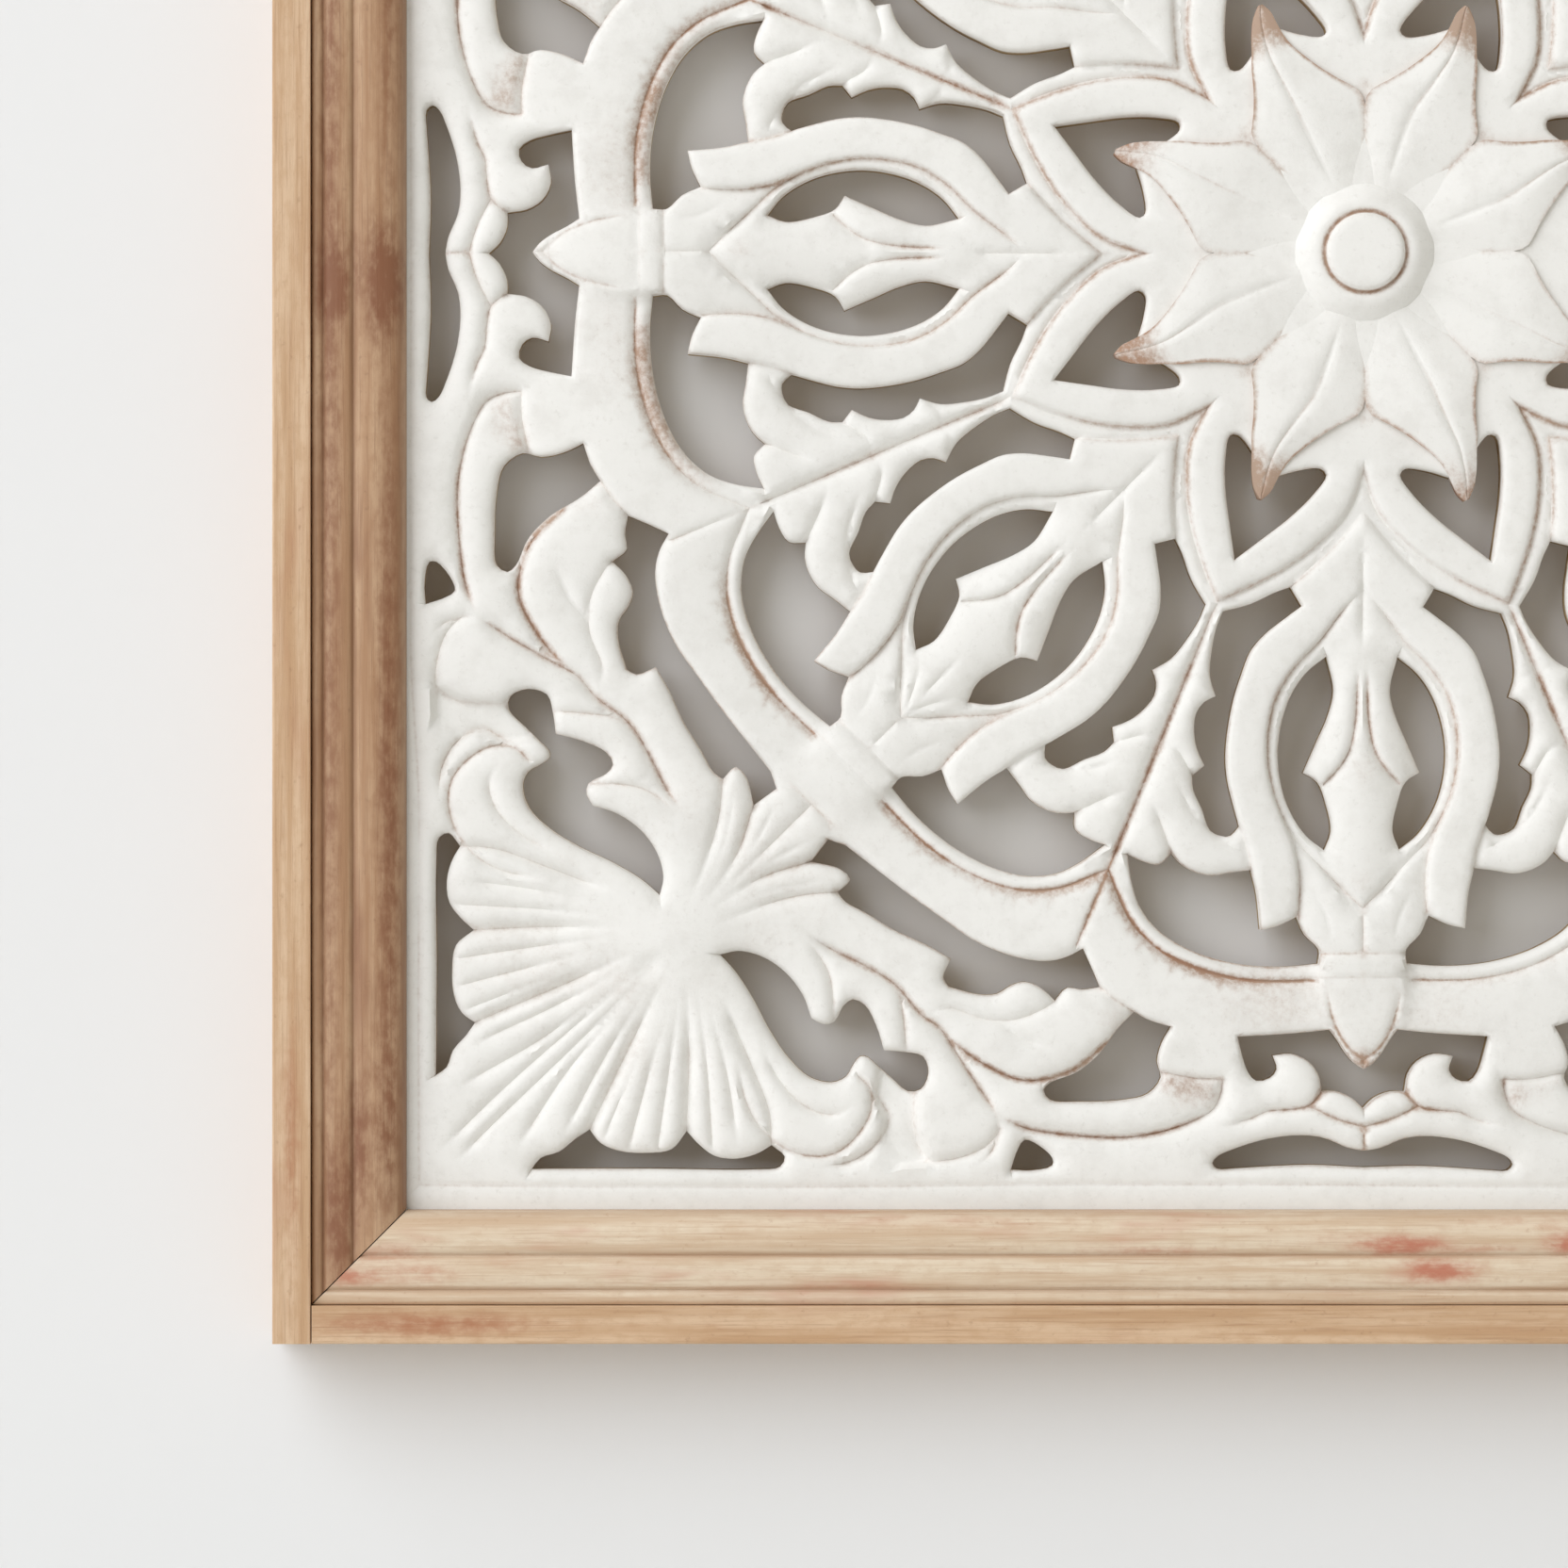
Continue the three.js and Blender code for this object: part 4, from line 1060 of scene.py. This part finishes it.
# Colours of the woods: pale, tan, streak, red and the grooves' painted shade, and how strong the blotches
# are
PALE_RAIL = (
    (0.77, 0.645, 0.49, 1), (0.63, 0.46, 0.31, 1), (0.46, 0.26, 0.15, 1), (0.52, 0.17, 0.10, 1),
    (0.34, 0.19, 0.11, 1), 0.6,
)
BROWN_RAIL = (
    (0.54, 0.35, 0.212, 1), (0.40, 0.222, 0.116, 1), (0.25, 0.13, 0.07, 1), (0.22, 0.08, 0.034, 1),
    (0.17, 0.08, 0.045, 1), 0.6,
)
GOLD_LATH = (
    (0.69, 0.49, 0.32, 1), (0.54, 0.335, 0.185, 1), (0.32, 0.16, 0.08, 1), (0.42, 0.17, 0.08, 1),
    (0.3, 0.15, 0.08, 1), 0.4,
)


def new_material(name, roughness):
    """A material with its node tree, its shader and a function that adds a node wired to its inputs."""
    material = bpy.data.materials.new(name)
    material.use_nodes = True
    tree = material.node_tree
    shader = tree.nodes["Principled BSDF"]
    shader.inputs["Roughness"].default_value = roughness

    def add(kind, inputs, output=0, **settings):
        node = tree.nodes.new(kind)
        for name, value in settings.items():
            setattr(node, name, value)
        for name, value in inputs.items():
            if isinstance(value, bpy.types.NodeSocket):
                tree.links.new(value, node.inputs[name])
            else:
                node.inputs[name].default_value = value
        return node.outputs[output]

    return material, tree, shader, add


def spread(add, value, low, high):
    """The value brought from the range between low and high to 0 to 1, with soft ends."""
    return add("ShaderNodeMapRange", {0: value, 1: low, 2: high, 3: 0.0, 4: 1.0},
               interpolation_type="SMOOTHSTEP")


def mixed(add, share, one, two):
    """Colour one turned into colour two by a share."""
    return add("ShaderNodeMix", {0: share, 6: one, 7: two}, output=2, data_type="RGBA")


def times(add, one, two):
    """Product of two values."""
    return add("ShaderNodeMath", {0: one, 1: two}, operation="MULTIPLY")


def plus(add, one, two):
    """Sum of two values."""
    return add("ShaderNodeMath", {0: one, 1: two}, operation="ADD")


def laid_over(add, under, value, low, high, strength, over):
    """A colour with another laid over it where a value passes from low to high, by the strength at
    most."""
    return mixed(add, times(add, spread(add, value, low, high), strength), under, over)


def noise(add, place, scale, detail, roughness=0.5):
    """Soft random values from 0 to 1, of the given fineness."""
    inputs = {"Vector": place, "Scale": scale, "Detail": detail, "Roughness": roughness}
    return add("ShaderNodeTexNoise", inputs)


def drawn_out(add, place, scales):
    """Coordinates scaled unevenly, so that a noise read at them is drawn out along the grain."""
    return add("ShaderNodeMapping", {"Vector": place, "Scale": scales})


def paint():
    """Chalky off-white paint, rubbed through to reddish brown in lines, on edges and in patches,
    with faint clouds and specks and a grainy surface; the same brown also paints shade on the bead at
    the left of the strap and between the petals. The back is bare wood, and so are the lower walls of
    the openings, whose dark brown is painted shade inside them."""
    material, tree, shader, add = new_material("chalk_paint", 0.72)
    place = add("ShaderNodeTexCoord", {}, output="Object")
    rub = add("ShaderNodeAttribute", {}, output="Fac", attribute_name="rub")
    patches = noise(add, place, 26, 3)
    specks = noise(add, place, 520, 4, 0.7)
    grain = noise(add, place, 1300, 2)
    clouds = noise(add, place, 9, 4)
    flecks = noise(add, place, 120, 5, 0.65)
    white = mixed(add, spread(add, clouds, 0.35, 0.7), PAINT_LIGHT, PAINT_SHADE)
    white = laid_over(add, white, flecks, 0.42, 0.72, 0.28, PAINT_GREY)
    white = laid_over(add, white, specks, 0.55, 0.8, 0.5, PAINT_GREY)
    worn = times(add, rub, spread(add, patches, 0.28, 0.62))
    worn = plus(add, times(add, worn, 0.85), times(add, rub, 0.28))
    worn = times(add, worn, plus(add, times(add, spread(add, specks, 0.3, 0.7), 0.6), 0.65))
    brown = mixed(add, spread(add, patches, 0.35, 0.65), RUB_BROWN, RUB_GREY)
    colour = mixed(add, spread(add, worn, 0.04, 0.95), white, brown)
    fibres = noise(add, drawn_out(add, place, (7, 60, 210)), 1, 5, 0.65)
    bare = mixed(add, spread(add, fibres, 0.36, 0.66), BARE_WOOD, BARE_STREAK)
    # bare brown wood on the back and on the lower walls of the openings, where it also paints shade into
    # them
    colour = mixed(add, spread(add, rub, -0.02, -0.5), colour, bare)
    tree.links.new(colour, shader.inputs["Base Color"])
    bump = add("ShaderNodeBump", {"Height": plus(add, times(add, specks, 0.6), times(add, grain, 0.4)),
                                  "Strength": 0.22, "Distance": 0.0006})
    tree.links.new(bump, shader.inputs["Normal"])
    return material


def wood(name, pale, tan, streak, red, groove, blotches):
    """Waxed wood: streaks of three browns drawn out along the grain, reddish blotches and stains,
    grooves, sight edge and joint darkened with painted shade, and fine pores."""
    material, tree, shader, add = new_material(name, 0.55)
    grain = add("ShaderNodeUVMap", {}, uv_map="grain")
    dark = add("ShaderNodeAttribute", {}, output="Fac", attribute_name="dark")
    stain = add("ShaderNodeAttribute", {}, output="Fac", attribute_name="stain")

    def along_grain(along, across, detail):
        return noise(add, drawn_out(add, grain, (along, across, 1)), 1, detail, 0.6)

    broad = along_grain(9, 210, 4)
    fine = along_grain(38, 1500, 3)
    pores = along_grain(420, 2600, 2)
    cloud = along_grain(16, 62, 3)
    mottle = along_grain(170, 330, 5)
    fleck = along_grain(320, 420, 3)
    ragged = times(add, stain, plus(add, times(add, spread(add, mottle, 0.25, 0.7), 0.6), 0.5))
    colour = mixed(add, spread(add, broad, 0.38, 0.66), pale, tan)
    for value, low, high, strength, over in [
        (fine, 0.5, 0.74, 0.42, streak),
        (cloud, 0.54, 0.76, blotches, red),
        (pores, 0.62, 0.8, 0.35, streak),
        (mottle, 0.42, 0.7, 0.5, tan),
        (fleck, 0.6, 0.78, 0.4, streak),
        (ragged, 0.05, 0.95, 0.9, red),
    ]:
        colour = laid_over(add, colour, value, low, high, strength, over)
    # painted shade: the grooves, the sight edge and the joint with the lath are darkened in colour
    groove_shade_share = times(add, dark, plus(add, times(add, spread(add, broad, 0.2, 0.7), 0.35), 0.4))
    colour = mixed(add, groove_shade_share, colour, groove)
    tree.links.new(colour, shader.inputs["Base Color"])
    bump = add("ShaderNodeBump", {"Height": plus(add, times(add, fine, 0.7), times(add, pores, 0.3)),
                                  "Strength": 0.3, "Distance": 0.0005})
    tree.links.new(bump, shader.inputs["Normal"])
    return material


# Camera, light and stage
def camera():
    """The photo looks straight at the wall from a few metres, at the lower left part of the panel.
    The panel's middle lies at 1447, 268 of the photo's pixels and half its width is 1156 of them."""
    photo_size, middle_x, middle_y, half_width = 1664, 1447, 268, 1156
    pixel = HALF_FRAME / half_width
    face = BOARD_BACK - LEVEL_STRAP * MM
    away, sensor = 2.5, 36.0
    data = bpy.data.cameras.new("camera")
    data.sensor_width = sensor
    data.lens = sensor * away / (photo_size * pixel)
    eye = bpy.data.objects.new("camera", data)
    across, up = (photo_size / 2 - middle_x) * pixel, (middle_y - photo_size / 2) * pixel
    eye.location = (across, face - away, CENTRE_Z + up)
    eye.rotation_euler = (math.pi / 2, 0, 0)
    bpy.context.collection.objects.link(eye)
    bpy.context.scene.camera = eye
    return eye


def lamp(name, place, target, size, power, colour=(1, 1, 1)):
    """A square soft light that looks at a point."""
    data = bpy.data.lights.new(name, "AREA")
    data.size, data.energy, data.color = size, power, colour
    light = bpy.data.objects.new(name, data)
    light.location = place
    light.rotation_euler = (Vector(target) - Vector(place)).to_track_quat("-Z", "Y").to_euler()
    bpy.context.collection.objects.link(light)


def plane(name, corners, colour, see_through_back):
    """A large flat stage surface. The one behind the panel shows only from its front, and light
    passes through it, so that the panel's back can be seen and lit."""
    mesh = bpy.data.meshes.new(name)
    mesh.from_pydata(corners, [], [(0, 1, 2, 3)])
    piece = bpy.data.objects.new(name, mesh)
    bpy.context.collection.objects.link(piece)
    material, tree, shader, add = new_material(name, 0.9)
    shader.inputs["Base Color"].default_value = colour
    if see_through_back:
        from_behind = add("ShaderNodeNewGeometry", {}, output="Backfacing")
        towards_light = add("ShaderNodeLightPath", {}, output="Is Shadow Ray")
        open_to = add("ShaderNodeMath", {0: from_behind, 1: towards_light}, operation="MAXIMUM")
        clear = add("ShaderNodeBsdfTransparent", {})
        cover = add("ShaderNodeMixShader", {0: open_to, 1: shader.outputs[0], 2: clear})
        tree.links.new(cover, tree.nodes["Material Output"].inputs["Surface"])
    mesh.materials.append(material)
    return piece


def stage_and_light(eye):
    """Pale wall close behind the panel, pale floor far below, a soft key light from the upper left,
    a weak one from the right, a dim warm one behind for the bare back, and a pale surrounding."""
    wide, floor, top = 4.0, -1.9, 2.6
    wall, front, rear = 0.0006, -6, 4
    plane("wall", [(-wide, wall, floor), (wide, wall, floor), (wide, wall, top), (-wide, wall, top)],
          (0.815, 0.82, 0.825, 1), True)
    plane("floor", [(-wide, front, floor), (wide, front, floor), (wide, rear, floor), (-wide, rear, floor)],
          (0.80, 0.80, 0.79, 1), False)
    target = (eye.location.x, 0, eye.location.z)
    lamp("key", (-2.75, -2.75, 1.75), target, 4.6, 178, (1, 1.02, 1.08))
    lamp("fill", (1.4, -2.6, -0.2), target, 2.2, 3)
    lamp("behind", (1.6, 2.6, 0.9), target, 3.0, 28, (1, 0.88, 0.72))
    world = bpy.data.worlds.new("surrounding")
    world.use_nodes = True
    sky = world.node_tree.nodes["Background"].inputs
    sky["Color"].default_value = (1, 0.965, 0.84, 1)
    sky["Strength"].default_value = 0.41
    bpy.context.scene.world = world
    bpy.context.scene.view_settings.view_transform = "Standard"


def main():
    """Makes every piece, gives it its finish and fixes it to the panel's one body."""
    carving = carved_board()
    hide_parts("carved_panel")
    finish = [(carving, paint(), "paint")]
    pale, brown = wood("pale_rail_wood", *PALE_RAIL), wood("brown_rail_wood", *BROWN_RAIL)
    gold = wood("gold_lath_wood", *GOLD_LATH)
    for side in range(4):
        finish.append((moulding(side), brown if side % 2 else pale, "moulding"))
        finish.append((lath(side), gold, "lath"))
    for piece, material, slot in finish:
        piece.data.materials.append(material)
        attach(piece, "root")
    stage_and_light(camera())


main()
